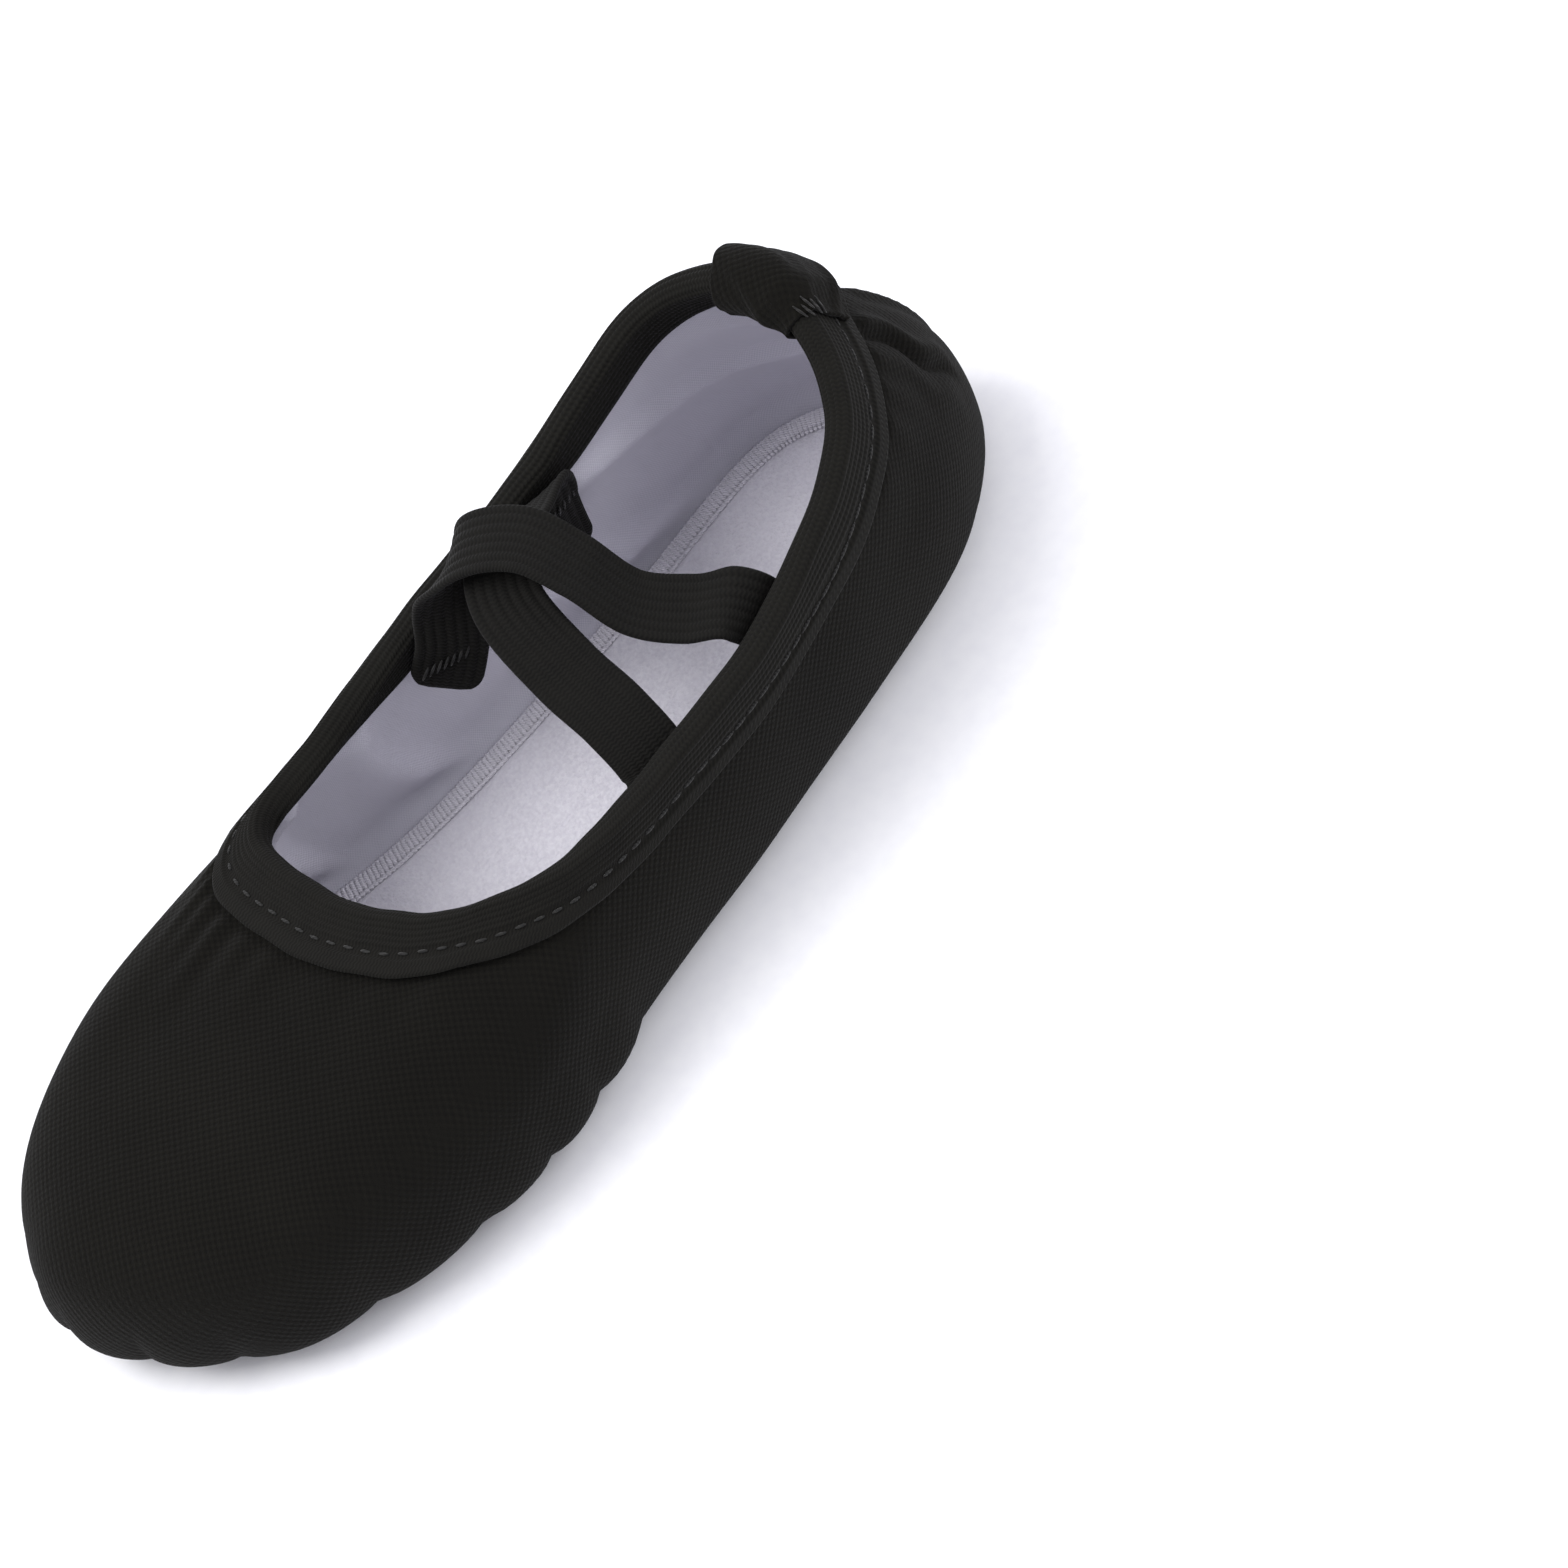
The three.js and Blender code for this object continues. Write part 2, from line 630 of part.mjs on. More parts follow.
function placeHalves(names, geometry, finish) {
  const halves = cutAtArch(geometry);
  place(names[0], halves.front, finish);
  place(names[1], halves.heel, finish);
}

placeHalves(['canvas_vamp', 'canvas_heel'], shell(0, CANVAS), 'canvas');
placeHalves(['lining_vamp', 'lining_heel'], shell(LINING_DEPTH, LINING), 'lining');
placeHalves(['binding_front', 'binding_heel'], binding(), 'elastic');
placeHalves(['topline_stitch_front', 'topline_stitch_heel'], toplineStitch(), 'thread');
placeHalves(
  ['insole_front', 'insole_heel'], plate(soleOutline(INSOLE_INSET), INSOLE_FLOOR, INSOLE), 'insole');
placeHalves(['insole_stitch_front', 'insole_stitch_heel'], insoleStitch(), 'lightThread');
place('heel_tab', heelTab(), 'canvas');
place('heel_tab_stitch', tabStitch(), 'thread');
place('heel_seam_stitch', heelSeam(), 'thread');
place('arch_seam_stitch', archSeam(), 'thread');
place('forefoot_pad', pad(patchOutline(
  FOREFOOT_PAD_LENGTH, BALL_WIDTH - 2 * PAD_INSET, LENGTH - PAD_TO_TOE, 0, FRONT_PATCH_REAR)), 'foam');
place('heel_pad', pad(patchOutline(
  ARCH_BEND_X - BEND_GAP - PAD_TO_BACK, HEEL_WIDTH - 2 * PAD_INSET, ARCH_BEND_X - BEND_GAP,
  HEEL_PATCH_OFFSET, HEEL_PATCH_REAR)), 'foam');

const frontPatch = patchOutline(
  FRONT_PATCH_LENGTH, FRONT_PATCH_WIDTH, LENGTH - FRONT_PATCH_TO_TOE, FRONT_PATCH_OFFSET,
  FRONT_PATCH_REAR);
const heelPatch = patchOutline(
  HEEL_PATCH_LENGTH, HEEL_PATCH_WIDTH, HEEL_PATCH_TO_BACK + HEEL_PATCH_LENGTH, HEEL_PATCH_OFFSET,
  HEEL_PATCH_REAR);
Object.entries({ front: frontPatch, heel: heelPatch }).forEach(([name, shape]) => {
  place(`${name}_sole_patch`, solePatch(shape), 'suede');
  place(`${name}_patch_stitch_outer`, patchRow(shape, PATCH_ROW_OUTER), 'thread');
  place(`${name}_patch_stitch_inner`, patchRow(shape, PATCH_ROW_INNER), 'thread');
});

Object.entries(STRAPS).forEach(([name, spec]) => {
  place(name, strap(spec), 'elastic');
  place(`${name}_tack_left`, barTack(spec.left), 'thread');
  place(`${name}_tack_right`, barTack(spec.right), 'thread');
});

const bounds = new THREE.Box3().setFromObject(slipper);
const middle = bounds.getCenter(new THREE.Vector3());
slipper.position.set(-middle.x, -middle.y, -bounds.min.z);

export default slipper;
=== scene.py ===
"""The looks of a soft canvas ballet slipper with a split suede sole and crossed elastic straps.

Metres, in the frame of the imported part: +X to the toe, +Y to the slipper's outer side, +Z up.
The shaping below works in the slipper's own millimetres, with x from the back of the heel and z
from the floor, and turns them into frame metres as each piece is laid.
"""
from math import atan2, cos, pi, radians, sin, tau

import bmesh
import bpy
import numpy as np
from mathutils import Matrix, Vector


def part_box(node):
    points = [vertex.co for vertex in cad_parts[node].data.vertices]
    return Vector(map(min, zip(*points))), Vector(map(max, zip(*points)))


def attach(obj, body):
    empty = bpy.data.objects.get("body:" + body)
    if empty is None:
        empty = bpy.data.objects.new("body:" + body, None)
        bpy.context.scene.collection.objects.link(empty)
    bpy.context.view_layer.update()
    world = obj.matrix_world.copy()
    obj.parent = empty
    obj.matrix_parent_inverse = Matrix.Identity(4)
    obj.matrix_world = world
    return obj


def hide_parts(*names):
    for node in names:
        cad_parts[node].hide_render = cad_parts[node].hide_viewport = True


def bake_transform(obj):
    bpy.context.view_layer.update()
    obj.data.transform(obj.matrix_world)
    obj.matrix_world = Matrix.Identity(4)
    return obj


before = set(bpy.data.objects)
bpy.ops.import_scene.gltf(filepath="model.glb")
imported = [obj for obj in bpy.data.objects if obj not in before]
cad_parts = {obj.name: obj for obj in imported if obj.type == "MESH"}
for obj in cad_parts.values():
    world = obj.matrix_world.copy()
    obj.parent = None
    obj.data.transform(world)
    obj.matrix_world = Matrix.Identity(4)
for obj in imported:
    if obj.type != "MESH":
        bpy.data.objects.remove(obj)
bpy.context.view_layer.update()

MM = 0.001

# ---- camera ----

VIEW_TARGET = Vector((-0.0258, 0.0423, 0.030))
VIEW_AZIMUTH = radians(66.97)     # from +X towards +Y
VIEW_ELEVATION = radians(56.73)
VIEW_ROLL = radians(30.94)
VIEW_DISTANCE = 0.7755
LENS = 108.6
SENSOR = 36.0


def make_camera():
    data = bpy.data.cameras.new("camera")
    data.lens = LENS
    data.sensor_width = SENSOR
    data.clip_start = 0.05
    camera = bpy.data.objects.new("camera", data)
    bpy.context.scene.collection.objects.link(camera)
    level = cos(VIEW_ELEVATION)
    towards = Vector((level * cos(VIEW_AZIMUTH), level * sin(VIEW_AZIMUTH), sin(VIEW_ELEVATION)))
    looking = (-towards).to_track_quat("-Z", "Y")
    camera.rotation_mode = "QUATERNION"
    roll = Matrix.Rotation(VIEW_ROLL, 4, looking @ Vector((0, 0, -1)))
    camera.rotation_quaternion = roll.to_quaternion() @ looking
    camera.location = VIEW_TARGET + towards * VIEW_DISTANCE
    bpy.context.scene.camera = camera


make_camera()

# ---- sizes of the slipper, in millimetres, as the part has them ----

LENGTH = 225
BALL_WIDTH = 79
WAIST_WIDTH = 61
HEEL_WIDTH = 51
TOE_OFFSET = -4.7
WIDEST_HEIGHT = 10
EDGE_INSET = 11
VAMP_LENGTH = 78
HEEL_SET_IN = 22.5
OPENING_WIDTH = 57
OPENING_LENGTH = LENGTH - VAMP_LENGTH - HEEL_SET_IN
THROAT_HEIGHT = 41
SIDE_HEIGHT = 43
HEEL_HEIGHT = 61

GAP = 0.4
PATCH_THICKNESS = 1.2
CANVAS = 1.0
LINING = 0.7
PAD = 2.0
INSOLE = 1.2
INSOLE_INSET = 7.0
PAD_INSET = 13.0
BINDING = 1.0
BINDING_OUTSIDE = 10.5
BINDING_INSIDE = 7.5
BINDING_LIFT = 0.6
STITCH_DEPTH = 6.1
TAB = 1.0
TAB_LENGTH = 20
TAB_INSIDE = 8.5
STRAP_WIDTH = 12.7
STRAP_THICKNESS = 1.2
STRAP_SEWN_LENGTH = 12
STRAP_EASE = 0.8
ARCH_BEND_X = 45
BEND_GAP = 0.5
# Patches and pads: length, width, front end, offset to the outer side, bluntness of the rear end.
FRONT_PATCH = (56, 54, LENGTH - 31, 0.5, 0.42)
HEEL_PATCH = (35, 34, 7.5 + 35, 1, 0.75)
FOREFOOT_PAD = (74, BALL_WIDTH - 2 * PAD_INSET, LENGTH - 26, 0, 0.42)
HEEL_PAD = (ARCH_BEND_X - BEND_GAP - 14, HEEL_WIDTH - 2 * PAD_INSET, ARCH_BEND_X - BEND_GAP, 1, 0.75)
PATCH_ROW_OUTER = 2.0
PATCH_ROW_INNER = 5.6
THREAD = 0.5

CANVAS_FLOOR = PATCH_THICKNESS + GAP
LINING_DEPTH = CANVAS + GAP
INNER_DEPTH = LINING_DEPTH + LINING
PAD_FLOOR = CANVAS_FLOOR + INNER_DEPTH + GAP
INSOLE_FLOOR = PAD_FLOOR + PAD + GAP
FLAP_DEPTH = INNER_DEPTH + GAP + BINDING
TAB_OVER = GAP + BINDING + GAP + THREAD + GAP

patch_low, patch_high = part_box("front_sole_patch")
FRAME_ORIGIN = np.array([
    patch_high.x - FRONT_PATCH[2] * MM,
    (patch_low.y + patch_high.y) / 2 - FRONT_PATCH[3] * MM,
    patch_low.z,
])


def to_frame(points):
    return FRAME_ORIGIN + np.asarray(points, float) * MM


# ---- small number helpers ----

def smooth(low, high, x):
    """Eases from 0 at low to 1 at high."""
    t = np.clip((np.asarray(x, float) - low) / (high - low), 0, 1)
    return t * t * (3 - 2 * t)


def lerp(a, b, t):
    return a + (b - a) * t


def unit(v):
    return v / np.maximum(np.linalg.norm(v, axis=-1, keepdims=True), 1e-12)


def turns(u, centre):
    """How far u is round the slipper from a centre, from -0.5 to 0.5."""
    return (np.asarray(u, float) - centre + 0.5) % 1 - 0.5


def walked_along(line):
    """The length walked from a line's first point to each of its points."""
    return np.concatenate([[0], np.cumsum(np.linalg.norm(np.diff(line, axis=0), axis=1))])


def read_along(at, walked, values):
    """Rows of values read at these lengths along a line."""
    return np.stack([np.interp(at, walked, column) for column in values.T], axis=1)


def cubic(a, b, leave, arrive, t):
    """A curve from a to b that leaves and arrives with these speeds."""
    return (a + leave * t + (3 * (b - a) - 2 * leave - arrive) * t ** 2
            + (2 * (a - b) + leave + arrive) * t ** 3)


def ripple(x, waves):
    """A few sine waves of (height, length, phase) added up."""
    return sum(height * np.sin(tau * x / length + phase) for height, length, phase in waves)


def bulges(x, rounds):
    """A few soft rounds of (height, place, half width) added up."""
    return sum(height * np.exp(-((x - place) / width) ** 2) for height, place, width in rounds)


# ---- the surface of the upper ----

# Stations round the widest line: share of the length, share of a width, and that width.
SOLE_SHARES = [
    (1.000, TOE_OFFSET, 1),
    (0.906, 0.335, BALL_WIDTH),
    (0.712, 0.507, BALL_WIDTH),
    (0.528, 0.610, WAIST_WIDTH),
    (0.318, 0.555, WAIST_WIDTH),
    (0.104, 0.520, HEEL_WIDTH),
    (0.000, 0.025, HEEL_WIDTH),
    (0.104, -0.485, HEEL_WIDTH),
    (0.318, -0.440, WAIST_WIDTH),
    (0.532, -0.482, WAIST_WIDTH),
    (0.749, -0.490, BALL_WIDTH),
    (0.939, -0.375, BALL_WIDTH),
]
SOLE_STATIONS = np.array([
    (x * LENGTH, y * width, WIDEST_HEIGHT) for x, y, width in SOLE_SHARES])

# Stations round the top edge: shares of the opening's length and width, and the height.
TOPLINE_SHARES = [
    (1.000, -0.045, THROAT_HEIGHT),
    (0.935, 0.280, THROAT_HEIGHT),
    (0.794, 0.490, THROAT_HEIGHT),
    (0.606, 0.545, lerp(THROAT_HEIGHT, SIDE_HEIGHT, 0.4)),
    (0.341, 0.533, lerp(SIDE_HEIGHT, HEEL_HEIGHT, 0.06)),
    (0.086, 0.355, lerp(SIDE_HEIGHT, HEEL_HEIGHT, 0.50)),
    (0.000, -0.050, HEEL_HEIGHT),
    (0.100, -0.420, lerp(SIDE_HEIGHT, HEEL_HEIGHT, 0.64)),
    (0.380, -0.452, lerp(SIDE_HEIGHT, HEEL_HEIGHT, 0.20)),
    (0.630, -0.470, SIDE_HEIGHT),
    (0.819, -0.458, THROAT_HEIGHT),
    (0.985, -0.405, THROAT_HEIGHT),
]
TOPLINE_STATIONS = np.array([
    (HEEL_SET_IN + x * OPENING_LENGTH, y * OPENING_WIDTH, z) for x, y, z in TOPLINE_SHARES])

WALL_RISE = 0.38                  # how far the wall keeps going straight up from the widest line
WALL_LEAN = 0.035
TOP_HANDLE = 0.33
STEEP_REACH = 8                   # where the top edge is this far inside, the wall is steep
STEEP_SLOPE = (0.25, 0.95)        # inward and up
FLAT_REACH = 58                   # where it is this far inside, the cloth lies as over the toes
VAMP_SLOPE = 0.36
EDGE_HANDLE = 0.55                # roundness of the turn from the flat underside
WIDEST_HANDLE = 0.6               # roundness of the turn up to the widest line


def closed_curve(stations, u):
    """A smooth closed line through evenly shared stations."""
    count = len(stations)
    place = (np.asarray(u, float) % 1) * count
    start = np.floor(place).astype(int)
    t = (place - start)[:, None]
    before, a, b, after = (stations[(start + step) % count] for step in (-1, 0, 1, 2))
    return cubic(a, b, (b - before) / 2, (after - a) / 2, t)


def sole_edge(u):
    return closed_curve(SOLE_STATIONS, u)


def topline(u):
    return closed_curve(TOPLINE_STATIONS, u)


def sole_normal(u):
    u = np.asarray(u, float)
    along = sole_edge(u + 1e-4) - sole_edge(u - 1e-4)
    return unit(np.stack([along[:, 1], -along[:, 0], np.zeros(len(along))], axis=1))


def bezier(a, b, c, d, t):
    a, b, c, d = (p[:, None, :] for p in (a, b, c, d))
    t = t[None, :, None]
    return a * (1 - t) ** 3 + 3 * b * t * (1 - t) ** 2 + 3 * c * t ** 2 * (1 - t) + d * t ** 3


AROUND = 720                      # columns and rows of the fine net
UPWARDS = 200
LOWER_STEPS = 80
UPPER_STEPS = 200


class Upper:
    """The outer face of the canvas, worked out once on a fine net and read between its knots."""

    def __init__(self):
        u = np.arange(AROUND) / AROUND
        edge, top, out = sole_edge(u), topline(u), sole_normal(u)
        up = np.array([0.0, 0.0, 1.0])
        inward = top - edge
        distance = np.linalg.norm(inward, axis=1, keepdims=True)
        level = inward * (1, 1, 0)
        reach = np.linalg.norm(level, axis=1, keepdims=True)
        flat = np.clip((reach - STEEP_REACH) / (FLAT_REACH - STEEP_REACH), 0, 1)
        arrive = unit(unit(level) * lerp(STEEP_SLOPE[0], 1, flat)
                      + up * lerp(STEEP_SLOPE[1], VAMP_SLOPE, flat))
        leave = up * WALL_RISE + out * WALL_LEAN
        under = edge - out * EDGE_INSET
        under[:, 2] = CANVAS_FLOOR
        lower = bezier(under, under + out * EDGE_INSET * EDGE_HANDLE,
                       edge - unit(leave) * (WIDEST_HEIGHT - CANVAS_FLOOR) * WIDEST_HANDLE, edge,
                       np.linspace(0, 1, LOWER_STEPS))
        upper = bezier(edge, edge + leave * distance, top - arrive * distance * TOP_HANDLE, top,
                       np.linspace(0, 1, UPPER_STEPS)[1:])
        path = np.concatenate([lower, upper], axis=1)
        walked = np.cumsum(np.linalg.norm(np.diff(path, axis=1), axis=2), axis=1)
        walked = np.concatenate([np.zeros((AROUND, 1)), walked], axis=1)
        self.height = walked[:, -1]
        shares = np.linspace(0, 1, UPWARDS + 1)
        self.face = np.empty((AROUND, UPWARDS + 1, 3))
        for column in range(AROUND):
            share = walked[column] / walked[column, -1]
            for axis in range(3):
                self.face[column, :, axis] = np.interp(shares, share, path[column, :, axis])
        across = np.roll(self.face, -1, axis=0) - np.roll(self.face, 1, axis=0)
        upwards = np.gradient(self.face, axis=1)
        self.outward = unit(np.cross(across, upwards))
        self.outward[:, 0] = (0, 0, -1)
        self.arrive = arrive
        self.under = under

    @staticmethod
    def _columns(u):
        place = (np.asarray(u, float) % 1) * AROUND
        low = np.floor(place).astype(int)
        return low % AROUND, (low + 1) % AROUND, place - low

    def wall_height(self, u):
        a, b, t = self._columns(u)
        return lerp(self.height[a], self.height[b], t)

    def point(self, u, below, depth):
        """A point a distance below the top edge, this deep in the wall."""
        u, below, depth = np.broadcast_arrays(*(np.asarray(x, float) for x in (u, below, depth)))
        a, b, t = self._columns(u)
        height = lerp(self.height[a], self.height[b], t)
        share = 1 - below / height
        row = np.clip(share, 0, 1) * UPWARDS
        low = np.minimum(np.floor(row).astype(int), UPWARDS - 1)
        s = (row - low)[:, None]
        t = t[:, None]

        def read(net):
            here, beside = (lerp(net[column, low], net[column, low + 1], s) for column in (a, b))
            return lerp(here, beside, t)

        over = np.maximum(share - 1, 0)[:, None] * height[:, None]
        past = lerp(self.arrive[a], self.arrive[b], t) * over
        return read(self.face) + past - unit(read(self.outward)) * depth[:, None]

    def ring(self, u):
        """The line where the flat underside begins to turn up."""
        a, b, t = self._columns(u)
        return lerp(self.under[a], self.under[b], t[:, None])


UPPER = Upper()

# ---- making a mesh ----

MOST_CORNERS = 8                  # a face with more is a wide flat one and is shaded flat


def finish_mesh(name, bm, materials):
    for face in bm.faces:
        face.smooth = len(face.verts) <= MOST_CORNERS
    mesh = bpy.data.meshes.new(name)
    bm.to_mesh(mesh)
    bm.free()
    piece = bpy.data.objects.new(name, mesh)
    bpy.context.scene.collection.objects.link(piece)
    for material in materials:
        mesh.materials.append(material)
    return piece


def lay_net(name, columns, rows, place, material, cloth=(1.0, 1.0), closed=False):
    """A net of columns by rows, laid where place(a, b) says, with a and b running from 0 to 1.

    Its map runs along and across the cloth in metres, so that a weave keeps its real size."""
    bm = bmesh.new()
    layer = bm.loops.layers.uv.new("cloth")
    bmesh.ops.create_grid(bm, x_segments=columns, y_segments=rows, size=0.5, calc_uvs=False)
    square = np.array([vert.co[:2] for vert in bm.verts])
    square = (square - square.min(0)) / (square.max(0) - square.min(0))
    for face in bm.faces:
        for loop in face.loops:
            loop[layer].uv = square[loop.vert.index] * cloth
    places = to_frame(place(square[:, 0], square[:, 1]))
    for vert, spot in zip(bm.verts, places):
        vert.co = spot
    bmesh.ops.remove_doubles(bm, verts=bm.verts, dist=1e-6)
    if closed:
        bmesh.ops.recalc_face_normals(bm, faces=bm.faces)
    return finish_mesh(name, bm, [material])


def thicken(piece, thickness):
    solid = piece.modifiers.new("thickness", "SOLIDIFY")
    solid.thickness = thickness * MM
    solid.offset = -1
    solid.use_even_offset = False


BATCH = 40                        # stitches made together, which keeps a long row quick
STITCH_FACES = (6, 5)             # round and along one stitch
BOLD = (0.6, 0.5)                 # width and height of a stitch
FINE = (0.55, 0.4)


def sew(name, nodes, starts, ends, outwards, size, moves, material=None):
    """Separate stitches, each a short bulging thread from a start to an end, proud of the cloth.

    They show the part's nodes named here and move as moves says."""
    width, height = size
    bm = bmesh.new()
    starts, ends, outwards = (np.asarray(x, float) for x in (starts, ends, outwards))
    places = list(zip(to_frame(starts), to_frame(ends), outwards))
    for first in range(0, len(places), BATCH):
        batch = bmesh.new()
        for start, end, out in places[first:first + BATCH]:
            middle, along = Vector((start + end) / 2), Vector((end - start) / 2)
            side = along.cross(Vector(out)).normalized()
            up = along.cross(side).normalized()
            turn = Matrix((side * width / 2 * MM, up * height / 2 * MM, along)).transposed()
            bmesh.ops.create_uvsphere(batch, u_segments=STITCH_FACES[0], v_segments=STITCH_FACES[1],
                                      radius=1, matrix=Matrix.Translation(middle) @ turn.to_4x4())
        part = bpy.data.meshes.new("stitches")
        batch.to_mesh(part)
        batch.free()
        bm.from_mesh(part)
        bpy.data.meshes.remove(part)
    piece = finish_mesh(name, bm, [material or MAT_THREAD])
    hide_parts(*nodes)
    return moves(piece)


# ---- materials ----

def linear(colour):
    """An sRGB hex colour as linear red, green, blue and alpha."""
    parts = [int(colour[i:i + 2], 16) / 255 for i in (1, 3, 5)]
    return tuple(p / 12.92 if p <= 0.04045 else ((p + 0.055) / 1.055) ** 2.4 for p in parts) + (1.0,)


def node(tree, kind, settings=(), **inputs):
    """Adds a node with its settings; an input takes a value or another node's output."""
    made = tree.nodes.new(kind)
    for key, value in dict(settings).items():
        setattr(made, key, value)
    for key, value in inputs.items():
        socket = made.inputs[int(key[1:])] if key[0] == "i" and key[1:].isdigit() else made.inputs[
            key.replace("_", " ")]
        if isinstance(value, bpy.types.NodeSocket):
            tree.links.new(value, socket)
        else:
            socket.default_value = value
    return made


def new_material(name, roughness, sheen=0.0, specular=0.2, sheen_colour="#ffffff"):
    material = bpy.data.materials.new(name)
    material.use_nodes = True
    tree = material.node_tree
    shader = tree.nodes["Principled BSDF"]
    shader.inputs["Roughness"].default_value = roughness
    shader.inputs["Specular IOR Level"].default_value = specular
    shader.inputs["Sheen Weight"].default_value = sheen
    shader.inputs["Sheen Roughness"].default_value = 0.6
    shader.inputs["Sheen Tint"].default_value = linear(sheen_colour)
    return material, tree, shader


def blend_colours(tree, share, low, high):
    mix = node(tree, "ShaderNodeMix", {"data_type": "RGBA"})
    tree.links.new(share, mix.inputs[0])
    for socket, colour in ((6, low), (7, high)):
        if isinstance(colour, bpy.types.NodeSocket):
            tree.links.new(colour, mix.inputs[socket])
        else:
            mix.inputs[socket].default_value = linear(colour)
    return mix.outputs[2]


def dress(tree, shader, colour, height, distance):
    """Gives a surface its colour and its fine relief, whose full height is a distance in metres."""
    tree.links.new(colour, shader.inputs["Base Color"])
    bump = node(tree, "ShaderNodeBump", Strength=1.0, Distance=distance, Height=height)
    tree.links.new(bump.outputs[0], shader.inputs["Normal"])


def vector_math(tree, operation, *values, **inputs):
    inputs.update({f"i{place}": value for place, value in enumerate(values)})
    return node(tree, "ShaderNodeVectorMath", {"operation": operation}, **inputs)


def from_range(tree, value, low, high):
    """A value that runs from low to high, as 0 to 1."""
    return node(tree, "ShaderNodeMapRange", i0=value, i1=low, i2=high, i3=0.0, i4=1.0).outputs[0]


THREAD_WANDER = 0.0006            # how far the weave's threads stray, in metres
PLANE_SHARPNESS = 5               # how fast the weave changes from one plane to the next


def woven(tree, pitch):
    """The height of a plain weave with this pitch in metres, flat on whichever way a face looks.

    Over and under threads make a chequer of small crowns in each of the three main planes, and
    the planes melt into each other where the cloth turns."""
    spot = node(tree, "ShaderNodeTexCoord")
    wobble = node(tree, "ShaderNodeTexNoise", Vector=spot.outputs["Object"], Scale=90.0, Detail=1.0)
    nudge = vector_math(tree, "MULTIPLY_ADD", wobble.outputs["Color"], (THREAD_WANDER,) * 3,
                        spot.outputs["Object"])
    wave = vector_math(tree, "SCALE", nudge.outputs[0], Scale=tau / pitch)
    crest = vector_math(tree, "SINE", wave.outputs[0])
    part = node(tree, "ShaderNodeSeparateXYZ", i0=crest.outputs[0])
    x, y, z = part.outputs[:3]
    first = node(tree, "ShaderNodeCombineXYZ", X=y, Y=x, Z=x)
    second = node(tree, "ShaderNodeCombineXYZ", X=z, Y=z, Z=y)
    crowns = vector_math(tree, "MULTIPLY", first.outputs[0], second.outputs[0])
    facing = vector_math(tree, "ABSOLUTE", spot.outputs["Normal"])
    sharper = vector_math(tree, "POWER", facing.outputs[0], (PLANE_SHARPNESS,) * 3)
    share = vector_math(tree, "DOT_PRODUCT", crowns.outputs[0], sharper.outputs[0])
    total = vector_math(tree, "DOT_PRODUCT", sharper.outputs[0], (1, 1, 1))
    height = node(tree, "ShaderNodeMath", {"operation": "DIVIDE"},
                  i0=share.outputs["Value"], i1=total.outputs["Value"])
    return from_range(tree, height.outputs[0], -1.0, 1.0)


def speckle(tree, scale, detail=3.0, low=0.3, high=0.7):
    """Soft even noise from 0 to 1."""
    spot = node(tree, "ShaderNodeTexCoord")
    noise = node(tree, "ShaderNodeTexNoise", Vector=spot.outputs["Object"], Scale=scale,
                 Detail=detail)
    return from_range(tree, noise.outputs[0], low, high)


def plus(tree, a, b, share=1.0):
    """The value a with a share of b added."""
    return node(tree, "ShaderNodeMath", {"operation": "MULTIPLY_ADD"},
                i0=b, i1=share, i2=a).outputs[0]


CANVAS_PITCH = 1.45 * MM      # two threads each way
LINING_PITCH = 0.55 * MM      # a little coarser than the real 0.4 mm so that it shows
CORD_PITCH = 1.3 * MM         # from one rubber cord of the elastic to the next
CROSS_PITCH = 0.7 * MM        # from one cross thread of the elastic to the next


def cotton_canvas():
    """Black dyed cotton canvas: dull, with a fine chequer of thread crowns and a faint bloom."""
    material, tree, shader = new_material("black_cotton_canvas", 0.95, sheen=0.03, specular=0.06)
    weave = woven(tree, CANVAS_PITCH)
    cloud = speckle(tree, 45.0)
    dark = blend_colours(tree, cloud, "#0b0a08", "#0e0d0b")
    light = blend_colours(tree, cloud, "#12110e", "#161511")
    colour = blend_colours(tree, weave, dark, light)
    fuzz = speckle(tree, 2600.0, detail=2.0)
    dress(tree, shader, colour, plus(tree, weave, fuzz, 0.5), 0.00016)
    return material


def cotton_lining():
    """White cotton drill lining: soft and dull, a very fine weave and a cool cast."""
    material, tree, shader = new_material("white_cotton_lining", 0.9, sheen=0.15, specular=0.2)
    weave = woven(tree, LINING_PITCH)
    cloud = speckle(tree, 30.0)
    colour = blend_colours(tree, cloud, "#bab8c5", "#cac8d3")
    colour = blend_colours(tree, weave, colour, "#d6d4dd")
    dress(tree, shader, colour, weave, 0.00005)
    return material


